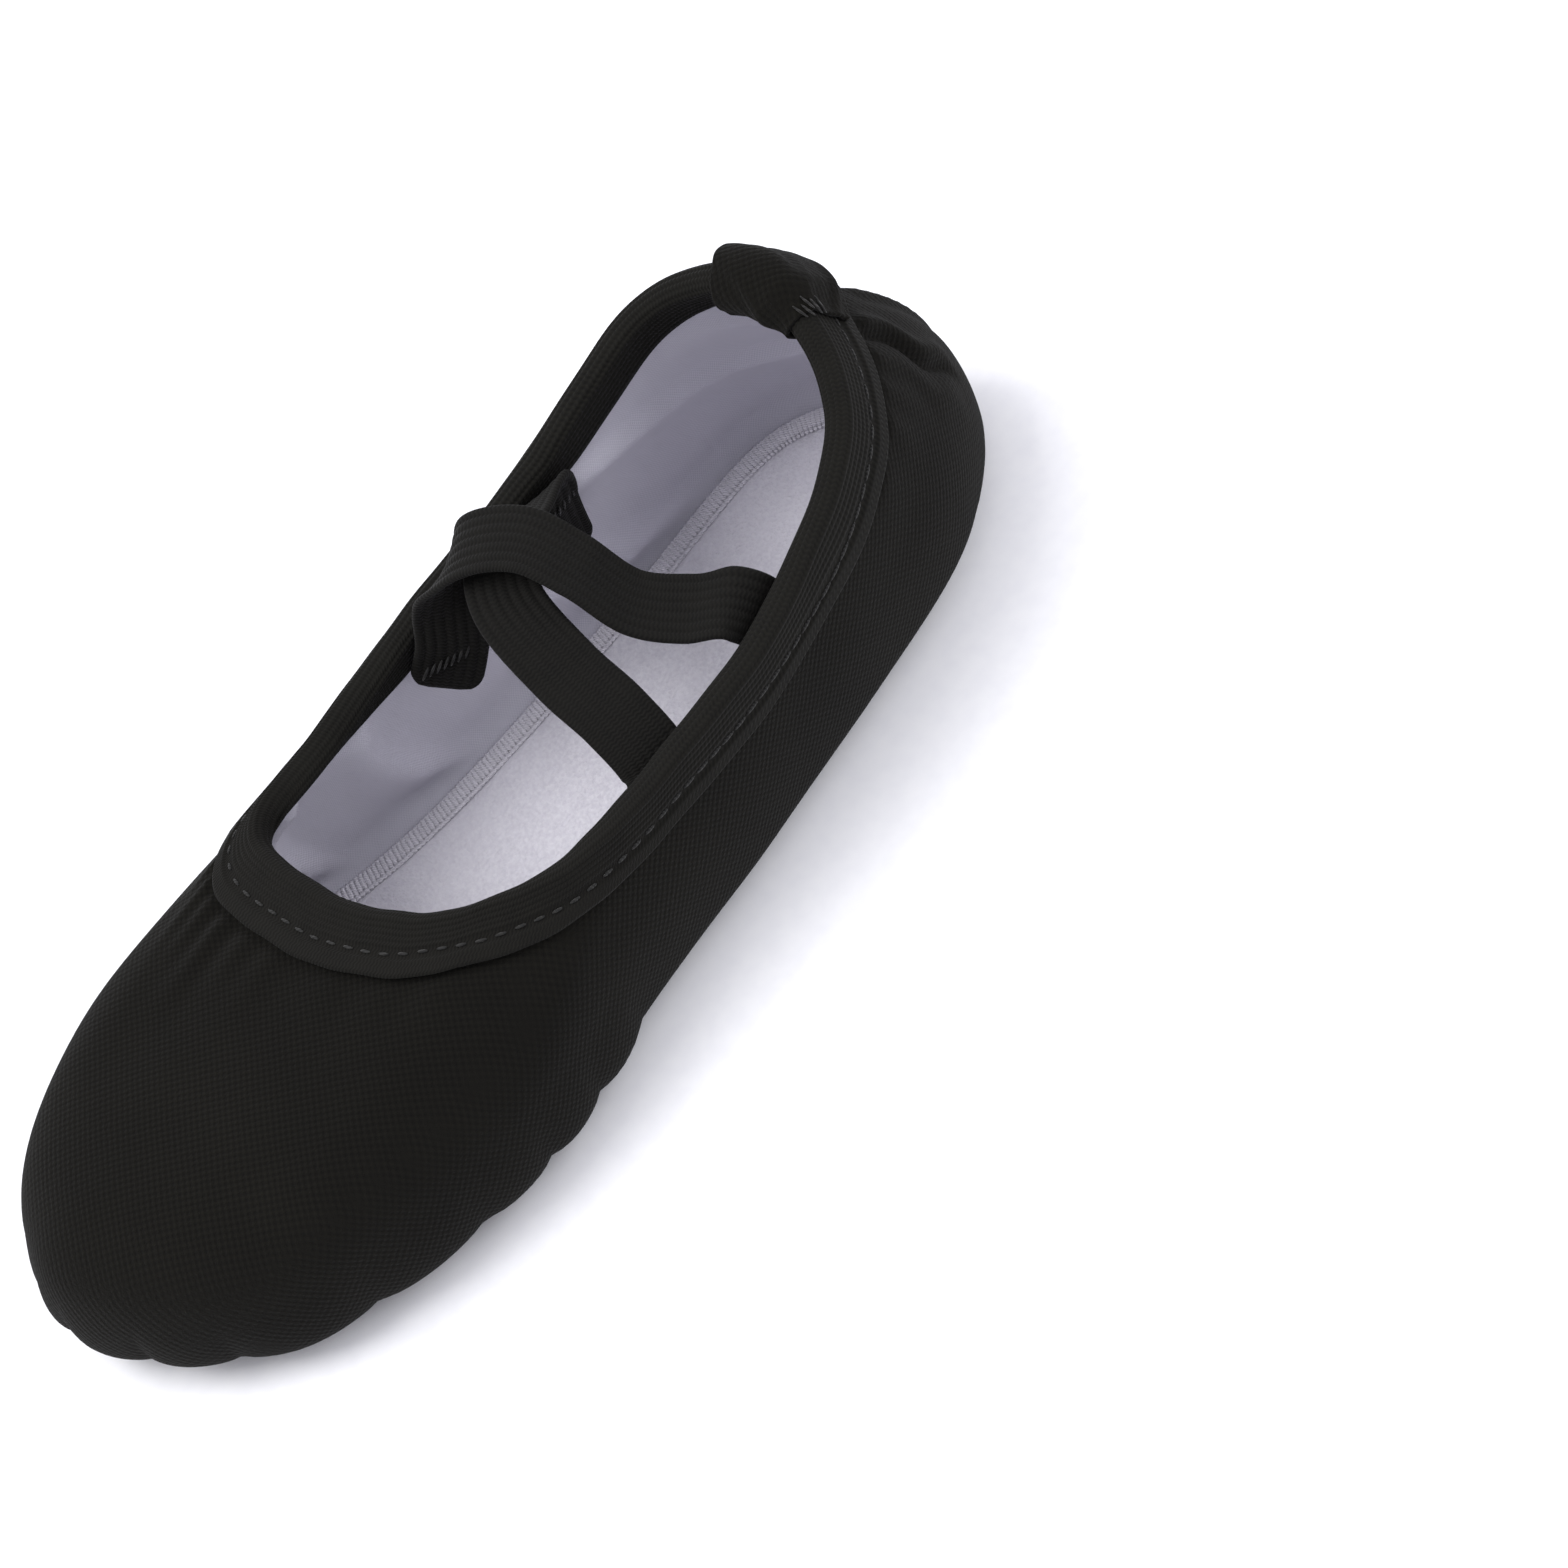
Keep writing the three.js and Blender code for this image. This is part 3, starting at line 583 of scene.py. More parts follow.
def knitted_elastic(name, dark, light):
    """Flat braided elastic: close cross threads over rubber cords, with a low satin gleam."""
    material, tree, shader = new_material(name, 0.8, sheen=0.025, specular=0.12)
    spot = node(tree, "ShaderNodeUVMap", {"uv_map": "cloth"})
    part = node(tree, "ShaderNodeSeparateXYZ", i0=spot.outputs[0])
    across = node(tree, "ShaderNodeMath", {"operation": "MULTIPLY"}, i0=part.outputs[1],
                  i1=tau / CORD_PITCH)
    lean = node(tree, "ShaderNodeMath", {"operation": "SINE"}, i0=across.outputs[0])
    along = node(tree, "ShaderNodeMath", {"operation": "MULTIPLY_ADD"}, i0=part.outputs[0],
                 i1=tau / CROSS_PITCH, i2=lean.outputs[0])
    tick = node(tree, "ShaderNodeMath", {"operation": "SINE"}, i0=along.outputs[0])
    rung = from_range(tree, tick.outputs[0], -1.0, 1.0)
    cloud = speckle(tree, 260.0)
    colour = blend_colours(tree, plus(tree, rung, cloud, 0.5), dark, light)
    dress(tree, shader, colour, plus(tree, rung, speckle(tree, 2200.0), 0.4), 0.00007)
    return material


def brushed_insole():
    """Brushed cotton over foam: nearly white, with a short soft nap."""
    material, tree, shader = new_material("brushed_cotton_insole", 0.95, sheen=0.2, specular=0.2)
    nap = speckle(tree, 1500.0, detail=4.0)
    cloud = speckle(tree, 35.0)
    colour = blend_colours(tree, cloud, "#cdcad3", "#dad7df")
    colour = blend_colours(tree, nap, colour, "#e3e1e7")
    dress(tree, shader, colour, plus(tree, nap, speckle(tree, 220.0), 1.2), 0.00012)
    return material


def soft_foam():
    """Open-cell foam: off-white and matt, with tiny pits."""
    material, tree, shader = new_material("polyurethane_foam", 1.0, specular=0.2)
    pits = speckle(tree, 1400.0)
    dress(tree, shader, blend_colours(tree, pits, "#cfcabf", "#e6e2d8"), pits, 0.0003)
    return material


def split_suede():
    """Split suede dyed black: a dense nap with brushed clouds and no gloss."""
    material, tree, shader = new_material("black_split_suede", 1.0, sheen=0.12, specular=0.1)
    nap = speckle(tree, 1900.0, detail=5.0)
    cloud = speckle(tree, 110.0, detail=4.0)
    colour = blend_colours(tree, cloud, "#171716", "#262624")
    colour = blend_colours(tree, nap, colour, "#2b2a28")
    dress(tree, shader, colour, plus(tree, nap, cloud, 0.8), 0.00022)
    return material


def cut_suede_edge():
    """The cut edge of the suede, where the paler undyed core shows."""
    material, tree, shader = new_material("cut_suede_edge", 1.0, specular=0.1)
    fibre = speckle(tree, 900.0)
    dress(tree, shader, blend_colours(tree, fibre, "#3a3936", "#6a6863"), fibre, 0.0002)
    return material


def spun_thread(name, dark, light, gloss=0.25):
    """Spun polyester thread: twisted strands that catch a little light."""
    material, tree, shader = new_material(name, 0.6, sheen=0.1, specular=gloss)
    spot = node(tree, "ShaderNodeTexCoord")
    twist = node(tree, "ShaderNodeTexWave", {"bands_direction": "DIAGONAL"},
                 Vector=spot.outputs["Object"], Scale=900.0, Distortion=1.5)
    colour = blend_colours(tree, twist.outputs[1], dark, light)
    dress(tree, shader, colour, twist.outputs[1], 0.0001)
    return material


MAT_CANVAS = cotton_canvas()
MAT_LINING = cotton_lining()
MAT_BINDING = knitted_elastic("ribbed_binding_elastic", "#090806", "#12110d")
MAT_STRAP = knitted_elastic("ribbed_strap_elastic", "#080706", "#11100d")
MAT_INSOLE = brushed_insole()
MAT_FOAM = soft_foam()
MAT_SUEDE = split_suede()
MAT_SUEDE_EDGE = cut_suede_edge()
MAT_THREAD = spun_thread("black_polyester_thread", "#0b0b0a", "#1d1c19")
MAT_OVERLOCK = spun_thread("white_overlock_thread", "#d5d2d9", "#e6e3e9", gloss=0.15)

# ---- how the pieces move ----


def bends(piece):
    """A soft piece that crosses the arch, with its placing baked into its mesh."""
    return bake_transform(piece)


def rides_forepart(piece):
    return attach(piece, "forepart")


def rides_heelpart(piece):
    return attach(piece, "heelpart")


# ---- canvas upper ----

# Stations of the pleats round the forefoot, and of the fewer ones round the heel.
TOE_PLEATS = np.array([-0.195, -0.168, -0.143, -0.120, -0.097, -0.075, -0.053, -0.032, -0.010,
                       0.029, 0.061, 0.111, 0.149, 0.178, 0.206, 0.231])
HEEL_PLEATS = np.array([0.425, 0.455, 0.482, 0.508, 0.535, 0.565, 0.595])
PLEAT_HEIGHT = 1.9                # how far the cloth puffs out between the pleats under the toes
PLEAT_HEIGHT_UP = 1.6             # and where it has turned up into the wall
HEEL_PLEAT_HEIGHT = 0.7
PLEAT_SKEW = 0.85                 # leans each puff to one side
PLEAT_ROUNDNESS = 0.5             # below 1, the puffs are full and the pleats between them sharp
CLEAR_OF_FLOOR = 0.25             # the puffed cloth stays this far above the floor
WALL_FREEDOM = 0.12               # it may stand out further by this share of its height


def pleat_puff(u, pleats):
    """Rounded cloth between sharp pleats: 0 at each pleat and 1 half-way to the next."""
    around = turns(u, pleats.mean()) + pleats.mean()
    gap = np.clip(np.searchsorted(pleats, around) - 1, 0, len(pleats) - 2)
    phase = (around - pleats[gap]) / (pleats[gap + 1] - pleats[gap])
    inside = (phase > 0) & (phase < 1)
    puff = np.maximum(np.sin(pi * np.clip(phase, 0, 1) ** PLEAT_SKEW), 0) ** PLEAT_ROUNDNESS
    return np.where(inside, puff, 0)


PATCH_WIDEST = 0.42               # share of a patch's length from its front to its widest line


def patch_share(x, y, patch):
    """How far out a point is from the patch's widest line: below 1 it is under the patch."""
    length, width, front, offset, _ = patch
    widest = front - length * PATCH_WIDEST
    reach = np.where(x > widest, front - widest, widest - (front - length))
    return np.hypot((x - widest) / reach, (y - offset) / (width / 2))


# Gathers below the binding: station, width round the edge, reach down and height.
GATHERS = [
    (0.965, 4.4, 20, 1.2), (0.945, 3.6, 26, 1.5), (0.926, 4.0, 18, 1.3), (0.907, 4.4, 22, 1.1),
    (0.985, 5.0, 16, 0.8), (0.888, 4.6, 14, 0.9), (0.030, 7.0, 12, 0.4), (0.065, 6.0, 14, 0.45),
    (0.100, 6.0, 14, 0.4), (0.135, 8.0, 16, 0.35),
    (0.425, 4.0, 14, 0.8), (0.440, 3.4, 18, 0.9), (0.455, 3.6, 15, 0.7), (0.470, 3.4, 20, 0.4),
    (0.530, 3.6, 19, 0.5), (0.546, 3.4, 15, 0.8), (0.562, 4.0, 18, 0.9), (0.580, 5.0, 13, 0.7),
    (0.400, 6.0, 12, 0.5), (0.610, 6.0, 12, 0.4),
]
GATHER_SPREAD = 30                # a gather is twice as wide this far below the binding
EDGE_LENGTH = 305.0               # round the top edge
HEEL_ROUND = 330.0                # round the slipper half-way down the heel
TAB_HEM = 18.0                    # where the tab's outer hem lies
TAB_HEM_RISE = 6.5                # how much higher it lies at the outer-side corner
TAB_EDGE = 2                      # over which the tab's cover fades out beside it
TAB_HEM_EDGE = 4                  # and below its hem
BACK_SEAM = 0.503                 # station of the closed back seam


def tab_hem_rise(u):
    """The tab's outer hem slants up to its outer-side corner."""
    return TAB_HEM_RISE * (1 - smooth(-TAB_LENGTH / 2, 2, turns(u, 0.5) * EDGE_LENGTH))


def under_tab(u, below):
    """How far a place is covered by the heel tab, from 0 to 1."""
    beside = np.abs(turns(u, 0.5)) * EDGE_LENGTH
    hem = TAB_HEM - tab_hem_rise(u)
    across = 1 - smooth(TAB_LENGTH / 2, TAB_LENGTH / 2 + TAB_EDGE, beside)
    return across * (1 - smooth(hem, hem + TAB_HEM_EDGE, below))


def gathers(u, below):
    """Small folds that run down from the binding, and none under the tab."""
    relief = np.zeros(np.shape(u))
    for station, width, reach, height in GATHERS:
        across = turns(u, station) * EDGE_LENGTH / (width / 2)
        spread = 1 + np.maximum(below - BINDING_OUTSIDE, 0) / GATHER_SPREAD
        shape = np.exp(-(across / spread) ** 2)
        fade = smooth(BINDING_OUTSIDE, BINDING_OUTSIDE + 2.5, below)
        fade = fade * (1 - smooth(BINDING_OUTSIDE + 2, BINDING_OUTSIDE + reach, below))
        relief += height * shape * fade
    return relief * (1 - under_tab(u, below))


def heel_ridge(u, below):
    """The closed back seam, a soft ridge that runs down from the tab."""
    across = turns(u, BACK_SEAM) * HEEL_ROUND
    ridge = bulges(across, [(0.6, 0, 1.2)]) + bulges(np.abs(across), [(-0.35, 2.8, 1.4)])
    return ridge * smooth(TAB_HEM, TAB_HEM + 6, below) * (1 - smooth(44, 58, below))


CREASE_FOOT = -12.5               # where the crease ends beside the middle of the heel


def heel_crease(u, below):
    """A sharp crease that starts at the tab's outer-side corner and runs down beside the back
    seam, with a ledge of cloth on each side of it."""
    line = lerp(-TAB_LENGTH / 2, CREASE_FOOT, smooth(8, 30, below)) + 0.6 * np.sin(below / 2.6)
    across = turns(u, 0.5) * HEEL_ROUND - line
    fold = bulges(across, [(1.3, 1.9, 1.8), (-1.7, -0.2, 0.9), (0.7, -4.2, 1.9)])
    fold = fold * smooth(BINDING_OUTSIDE - 1, BINDING_OUTSIDE + 4, below)
    return fold * (1 - smooth(32, 42, below)) * (1 - under_tab(u, below))


def canvas_relief(u, below):
    """How far the canvas stands out from the smooth surface on the wall."""
    height = UPPER.wall_height(u)
    above = height - below
    pleats = pleat_puff(u, TOE_PLEATS) * lerp(PLEAT_HEIGHT, PLEAT_HEIGHT_UP, smooth(0, 14, above))
    pleats = pleats * (1 - smooth(12, 27, above))
    heel = pleat_puff(u, HEEL_PLEATS) * HEEL_PLEAT_HEIGHT * (1 - smooth(4, 16, above))
    bare = smooth(BINDING_OUTSIDE + 1, BINDING_OUTSIDE + 14, below)
    slack = ripple(u, [(0.22, 1 / 7, 0.4), (0.16, 1 / 11, 2.1), (0.12, 1 / 19, 4.0)])
    slack = slack * (0.6 + 0.4 * np.sin(below / 9 + 5 * tau * u)) * bare * smooth(2, 16, above)
    folds = gathers(u, below) + heel_ridge(u, below) + heel_crease(u, below)
    most = CANVAS_FLOOR - CLEAR_OF_FLOOR + WALL_FREEDOM * above
    return np.minimum(pleats + heel + slack + folds, most)


UNDERSIDE_SPINE = (186.0, 30.0)   # ends of the line that the underside closes on


def spine(u, ends, rim):
    """The point of a middle line that a station closes on; both sides of the slipper share it."""
    back = 1 - np.abs(1 - 2 * (np.asarray(u, float) % 1))
    points = (rim(u) + rim(1 - np.asarray(u, float))) / 2
    points[:, 0] = lerp(ends[0], ends[1], back)
    return points


def underside(u, share, depth):
    """A point of the flat underside, from its rim at 0 in to the middle line at 1."""
    rim = UPPER.ring(u)
    points = lerp(rim, spine(u, UNDERSIDE_SPINE, UPPER.ring), share[:, None])
    points[:, 2] = CANVAS_FLOOR + depth
    return points


SEAM_Y = 0.8                      # where the arch seam runs between the two patches
SLACK_FRONT = 150                 # in front of this the pleats take up all the slack


def under_relief(u, points):
    """How far the canvas stands out below the flat underside, outside the two patches."""
    x, y = points[:, 0], points[:, 1]
    front, heel = patch_share(x, y, FRONT_PATCH), patch_share(x, y, HEEL_PATCH)
    toe = pleat_puff(u, TOE_PLEATS) * PLEAT_HEIGHT * smooth(1.01, 1.22, front)
    back = pleat_puff(u, HEEL_PLEATS) * HEEL_PLEAT_HEIGHT * smooth(1.03, 1.3, heel)
    bare = smooth(1.03, 1.3, front) * smooth(1.03, 1.3, heel)
    slack = bare * ripple(x + 0.6 * y, [(0.15, 23, 0), (0.12, 37, 1)]) * (x < SLACK_FRONT)
    seam = bulges(y, [(0.45, SEAM_Y, 1.2)]) * smooth(1.05, 1.2, front) * smooth(1.05, 1.2, heel)
    seam = seam * (x < FRONT_PATCH[2] - 40)
    return np.minimum(toe + back + slack + seam, CANVAS_FLOOR - CLEAR_OF_FLOOR)


BUNCH = 0.035                     # draws the canvas's columns closer at the toe and the heel


def shell_place(depth, relief, under, underside_share, bunch=0.0):
    """Lays a net over one layer of the upper, closed underneath and open at the top edge."""
    def place(a, b):
        a = a - bunch * np.sin(2 * tau * a)
        points = np.empty((len(a), 3))
        low = b < underside_share
        u, share = a[low], 1 - b[low] / underside_share
        flat = underside(u, share, np.full(len(u), float(depth)))
        if under is not None:
            flat[:, 2] -= under(u, flat)
        points[low] = flat
        u = a[~low]
        height = UPPER.wall_height(u)
        below = height * (1 - (b[~low] - underside_share) / (1 - underside_share))
        points[~low] = UPPER.point(u, below, depth - relief(u, below))
        return points
    return place


def canvas_upper():
    """The black canvas bag: pleated under the toes and the heel, gathered into the binding."""
    place = shell_place(0, canvas_relief, under_relief, 28 / 124, BUNCH)
    piece = lay_net("canvas_upper", 348, 124, place, MAT_CANVAS, cloth=(0.6, 0.14))
    thicken(piece, CANVAS)
    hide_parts("canvas_vamp", "canvas_heel")
    bends(piece)


# ---- lining ----

# Soft folds of the lining: station, width, height, lowest and highest, both below the top edge,
# and the lean, which is how fast a fold runs along the wall.
LINING_FOLDS = [
    (0.560, 14, 1.6, 44, 12, -0.6), (0.622, 12, 2.3, 42, 10, -1.1), (0.690, 11, 2.6, 38, 12, -0.7),
    (0.765, 9, 2.4, 34, 12, -0.5), (0.822, 9, 3.4, 38, 10, -0.5), (0.868, 10, 3.6, 42, 10, -0.4),
    (0.915, 10, 3.4, 46, 10, -0.6), (0.960, 10, 2.2, 46, 12, -0.2), (0.455, 12, 1.6, 44, 14, 0.2),
    (0.405, 9, 1.2, 38, 12, -0.2), (0.290, 11, 1.0, 34, 12, 0.1), (0.170, 10, 1.2, 36, 12, 0.0),
    (0.090, 9, 1.2, 40, 14, 0.2),
]


FOLD_STEEPER = 2.6                # how much steeper a fold is on one side


def lining_relief(u, below):
    """The lining only folds inwards, so this is never above nought."""
    relief = np.zeros(np.shape(u))
    for station, width, height, lowest, highest, lean in LINING_FOLDS:
        across = (turns(u, station) * EDGE_LENGTH - (below - 20) * lean) / (width / 2)
        across = np.where(across < 0, across * FOLD_STEEPER, across)
        fade = smooth(highest - 4, highest + 6, below) * (1 - smooth(lowest, lowest + 12, below))
        relief += height * np.exp(-np.abs(across) ** 1.5) * fade
    slack = 0.2 * (1 + ripple(u, [(0.6, 1 / 9, 1.0), (0.4, 1 / 16, 2.5)])) * smooth(10, 22, below)
    return -(relief + np.maximum(slack, 0))


def cotton_lining_shell():
    place = shell_place(LINING_DEPTH, lining_relief, None, 20 / 104)
    piece = lay_net("cotton_lining_shell", 300, 104, place, MAT_LINING, cloth=(0.6, 0.14))
    thicken(piece, LINING)
    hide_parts("lining_vamp", "lining_heel")
    bends(piece)


# ---- binding ----

def fold_profile(outside, inside, depth_out, depth_in, lift):
    """The outer face of a strip folded over the top edge, as points from its outer edge up over
    the fold and down to its inner edge: how far below the edge, how deep, the length walked, and
    which way the face looks."""
    turn = np.linspace(0, pi, 41)[1:-1]
    middle, reach = (depth_out + depth_in) / 2, (depth_in - depth_out) / 2
    below = np.concatenate([
        np.linspace(outside, 0, 60), -lift * np.sin(turn), np.linspace(0, inside, 40)])
    depth = np.concatenate([
        np.full(60, float(depth_out)), middle - reach * np.cos(turn), np.full(40, float(depth_in))])
    walked = walked_along(np.stack([below, depth], axis=1))
    lean = unit(np.stack([-np.gradient(depth), np.gradient(below)], axis=1))
    return below, depth, walked, lean


BORDER = 3.6                      # raised edge outside the stitch row
RIBS_FROM = 5.4                   # the first rib, from the outer edge
RIB_PITCH = 1.15
RIB_HEIGHT = 0.26


def binding_relief(u, walked, total):
    """A raised border, the channel of the stitch row, and ribs from there over to the inside."""
    border = 0.4 * smooth(0, 0.6, walked) * (1 - smooth(BORDER - 0.7, BORDER, walked))
    channel = bulges(walked, [(-0.12, BINDING_OUTSIDE - STITCH_DEPTH, 0.7)])
    ribs = np.abs(np.sin(pi * (walked - RIBS_FROM) / RIB_PITCH)) ** 0.8 * RIB_HEIGHT
    ribs = ribs * smooth(RIBS_FROM - 0.2, RIBS_FROM + 0.4, walked)
    return border + channel + ribs * (1 - smooth(total - 0.8, total - 0.2, walked))


def folded_place(profile, relief, slip):
    """Places on a folded strip: relief raises them off its face, slip moves them down the wall."""
    below, depth, walked, lean = profile
    total = walked[-1]

    def place(u, b):
        s = b * total
        out = relief(u, s, total)
        side = unit(read_along(s, walked, lean))
        at_below = np.interp(s, walked, below) + side[:, 0] * out + slip(u, s, total)
        at_depth = np.interp(s, walked, depth) + side[:, 1] * out
        return UPPER.point(u, at_below, at_depth)
    return place


BINDING_STRIP = 24                # width of the elastic before it is folded


def topline_binding():
    profile = fold_profile(
        BINDING_OUTSIDE, BINDING_INSIDE, -(GAP + BINDING), FLAP_DEPTH, BINDING_LIFT + BINDING)

    def slip(u, walked, total):
        return ripple(u, [(0.22, 1 / 5, 0.3), (0.15, 1 / 13, 1.2), (0.08, 1 / 29, 2.0)])

    place = folded_place(profile, binding_relief, slip)
    piece = lay_net("topline_binding", 288, 118, place, MAT_BINDING,
                    cloth=(EDGE_LENGTH * MM, BINDING_STRIP * MM))
    thicken(piece, BINDING - 0.1)
    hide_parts("binding_front", "binding_heel")
    bends(piece)


def edge_places(spacing, start=0.0, end=1.0):
    """Stations spaced evenly along the top edge."""
    fine = np.linspace(start, end, 2000)
    walked = walked_along(topline(fine))
    count = int(walked[-1] // spacing)
    return np.interp((np.arange(count) + 0.5) * walked[-1] / count, walked, fine), walked[-1]


def wall_outward(u, below):
    return unit(UPPER.point(u, below, -1.0) - UPPER.point(u, below, 0.0))


STITCH = 2.3                      # length of one stitch
STITCH_STEP = 3.1                 # from one stitch to the next
STITCH_PROUD = 0.02               # how far the thread's middle stands off the binding


def topline_stitches():
    u, length = edge_places(STITCH_STEP)
    half = STITCH / 2 / length
    depth = -(GAP + BINDING) - STITCH_PROUD
    wave = ripple(u, [(0.25, 1 / 6, 0.5), (0.15, 1 / 17, 1.5)])
    below = STITCH_DEPTH + wave
    sew("topline_stitches", ("topline_stitch_front", "topline_stitch_heel"),
        UPPER.point(u - half, below, depth), UPPER.point(u + half, below, depth),
        wall_outward(u, below), BOLD, bends)


# ---- heel tab ----

TAB_REACH = TAB_LENGTH / 2 / EDGE_LENGTH
TAB_PUFF = 1.1                    # how far the casing swells
TAB_TAPER = 0.9                   # how far it is drawn in at its ends
TAB_STRIP = 38                    # length of the strip before it is folded


def tab_relief(u, walked, total):
    """The casing swells over the binding, drops sharply at its inner-side end and tapers to a
    tacked corner at its outer-side end."""
    side = turns(u, 0.5) / TAB_REACH
    whole = np.where(side > 0, 1 - smooth(0.9, 1.0, side), 1 - smooth(0.45, 0.95, -side))
    hem = smooth(0, 8, walked) * smooth(0, 4, total - walked)
    crumple = ripple(walked + side * 5, [(0.12, 6.1, 0.4), (0.08, 3.7, 1.9)])
    outer = 1 - smooth(4, 9, walked)
    swell = TAB_PUFF * whole - TAB_TAPER * (1 - whole)
    return (swell + crumple) * hem - (TAB_OVER - 0.1) * outer


def tab_slip(u, walked, total):
    """At its outer-side end the casing hangs below the binding inside, and its hem slants up
    outside."""
    side = turns(u, 0.5) / TAB_REACH
    inner = smooth(total - 9, total, walked)
    outer = 1 - smooth(0, 12, walked)
    return inner * (bulges(side, [(2.6, -0.8, 0.28)]) - 1.2) - outer * tab_hem_rise(u)


def tab_profile():
    return fold_profile(TAB_HEM, TAB_INSIDE, -(TAB_OVER + TAB), INNER_DEPTH + TAB_OVER + TAB,
                        BINDING_LIFT + BINDING + GAP + TAB)


def heel_tab():
    fold = folded_place(tab_profile(), tab_relief, tab_slip)
    piece = lay_net("heel_tab_casing", 72, 104, lambda a, b: fold(0.5 + (2 * a - 1) * TAB_REACH, b),
                    MAT_CANVAS, cloth=(TAB_LENGTH * MM, TAB_STRIP * MM))
    thicken(piece, TAB - 0.2)
    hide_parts("heel_tab")
    rides_heelpart(piece)


# The tack's threads: place along the tab, from -1 to 1, and length walked over the fold.
TAB_TACK = [(-0.94, 17.0), (-0.98, 18.6), (-0.9, 20.0), (-1.0, 20.8), (-0.96, 22.2)]


def heel_tab_stitches():
    """A row along the casing's outer hem, and a few stray threads where its corner is tacked."""
    profile = tab_profile()
    fold = folded_place(profile, lambda u, s, total: tab_relief(u, s, total) + 0.05, tab_slip)
    total = profile[2][-1]
    row = [(side, 2.2, 0.1, 0.1, 0, 0) for side in np.linspace(-0.86, 0.86, 7)]
    tack = [(side, walked, 0.12, 0.14, 0.5, 0.6) for side, walked in TAB_TACK]
    side, walked, left, right, back, on = np.array(row + tack).T
    starts = fold(0.5 + (side - left) * TAB_REACH, (walked - back) / total)
    ends = fold(0.5 + (side + right) * TAB_REACH, (walked + on) / total)
    out = wall_outward(np.full(len(side), 0.5), np.full(len(side), 6.0))
    sew("heel_tab_stitches", ("heel_tab_stitch",), starts, ends, out, (0.55, 0.45), rides_heelpart)


def heel_seam_stitches():
    lowest = UPPER.wall_height(np.array([0.5]))[0] - EDGE_INSET - 2
    below = np.arange(TAB_HEM + 3, lowest, STITCH_STEP)
    u = np.full(len(below), BACK_SEAM)
    depth = -canvas_relief(u, below) + 0.12
    sew("heel_seam_stitches", ("heel_seam_stitch",), UPPER.point(u, below - STITCH / 2, depth),
        UPPER.point(u, below + STITCH / 2, depth), wall_outward(u, below), FINE, rides_heelpart)


# ---- insole ----

def insole_rim(u, inset=0.0):
    return sole_edge(u) - sole_normal(u) * (INSOLE_INSET + inset)


INSOLE_SPINE = (196.0, 22.0)      # ends of the middle line that the sock's net closes on


def insole_height(points):
    """The sock sinks a little under the ball and the heel, and its surface is not quite flat."""
    x, y = points[:, 0], points[:, 1]
    ball = bulges(x, [(-0.25, 165, 30)]) * bulges(y, [(1, 0, 22)])
    heel = bulges(x, [(-0.2, 28, 20)]) * bulges(y, [(1, 0, 16)])
    return ball + heel + ripple(x, [(0.06, 31, 0.5), (0.05, 17, 1.0)]) + ripple(y, [(0.05, 19, 0.2)])


INSOLE_UNDER = 0.14               # the net's rows up to here lie on the underside
INSOLE_TURNED = 0.34              # and from there to here round the edge
INSOLE_ROUND = 0.5                # how far the rounded edge reaches in


def insole_sock():
    """One soft sock: flat below, round at the edge, pressed in a little where it is overlocked."""
    def place(a, b):
        points = np.empty((len(a), 3))
        rim, middle = insole_rim(a), spine(a, INSOLE_SPINE, insole_rim)
        out = sole_normal(a)
        below, above = b < INSOLE_UNDER, b >= INSOLE_TURNED
        edge = ~below & ~above
        share = 1 - b[below] / INSOLE_UNDER
        points[below] = lerp(rim[below] - out[below] * INSOLE_ROUND, middle[below], share[:, None])
        points[below, 2] = INSOLE_FLOOR
        angle = (b[edge] - INSOLE_UNDER) / (INSOLE_TURNED - INSOLE_UNDER) * pi - pi / 2
        points[edge] = rim[edge] - out[edge] * INSOLE_ROUND * (1 - np.cos(angle)[:, None])
        points[edge, 2] = INSOLE_FLOOR + INSOLE / 2 + INSOLE / 2 * np.sin(angle)
        share = (b[above] - INSOLE_TURNED) / (1 - INSOLE_TURNED)
        top = lerp(rim[above] - out[above] * INSOLE_ROUND, middle[above], share[:, None])
        pressed = bulges(share * 22, [(0.3, 2.6, 1.6)])
        top[:, 2] = INSOLE_FLOOR + INSOLE + insole_height(top) * smooth(0, 0.15, share) - pressed
        points[above] = top
        return points

    piece = lay_net("insole_sock", 260, 60, place, MAT_INSOLE, cloth=(0.5, 0.06), closed=True)
    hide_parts("insole_front", "insole_heel")
    bends(piece)


OVERLOCK_STEP = 0.95
OVERLOCK_WIDTH = 4.2
OVERLOCK_SIZE = (1.25, 0.34)      # width and height of its thread


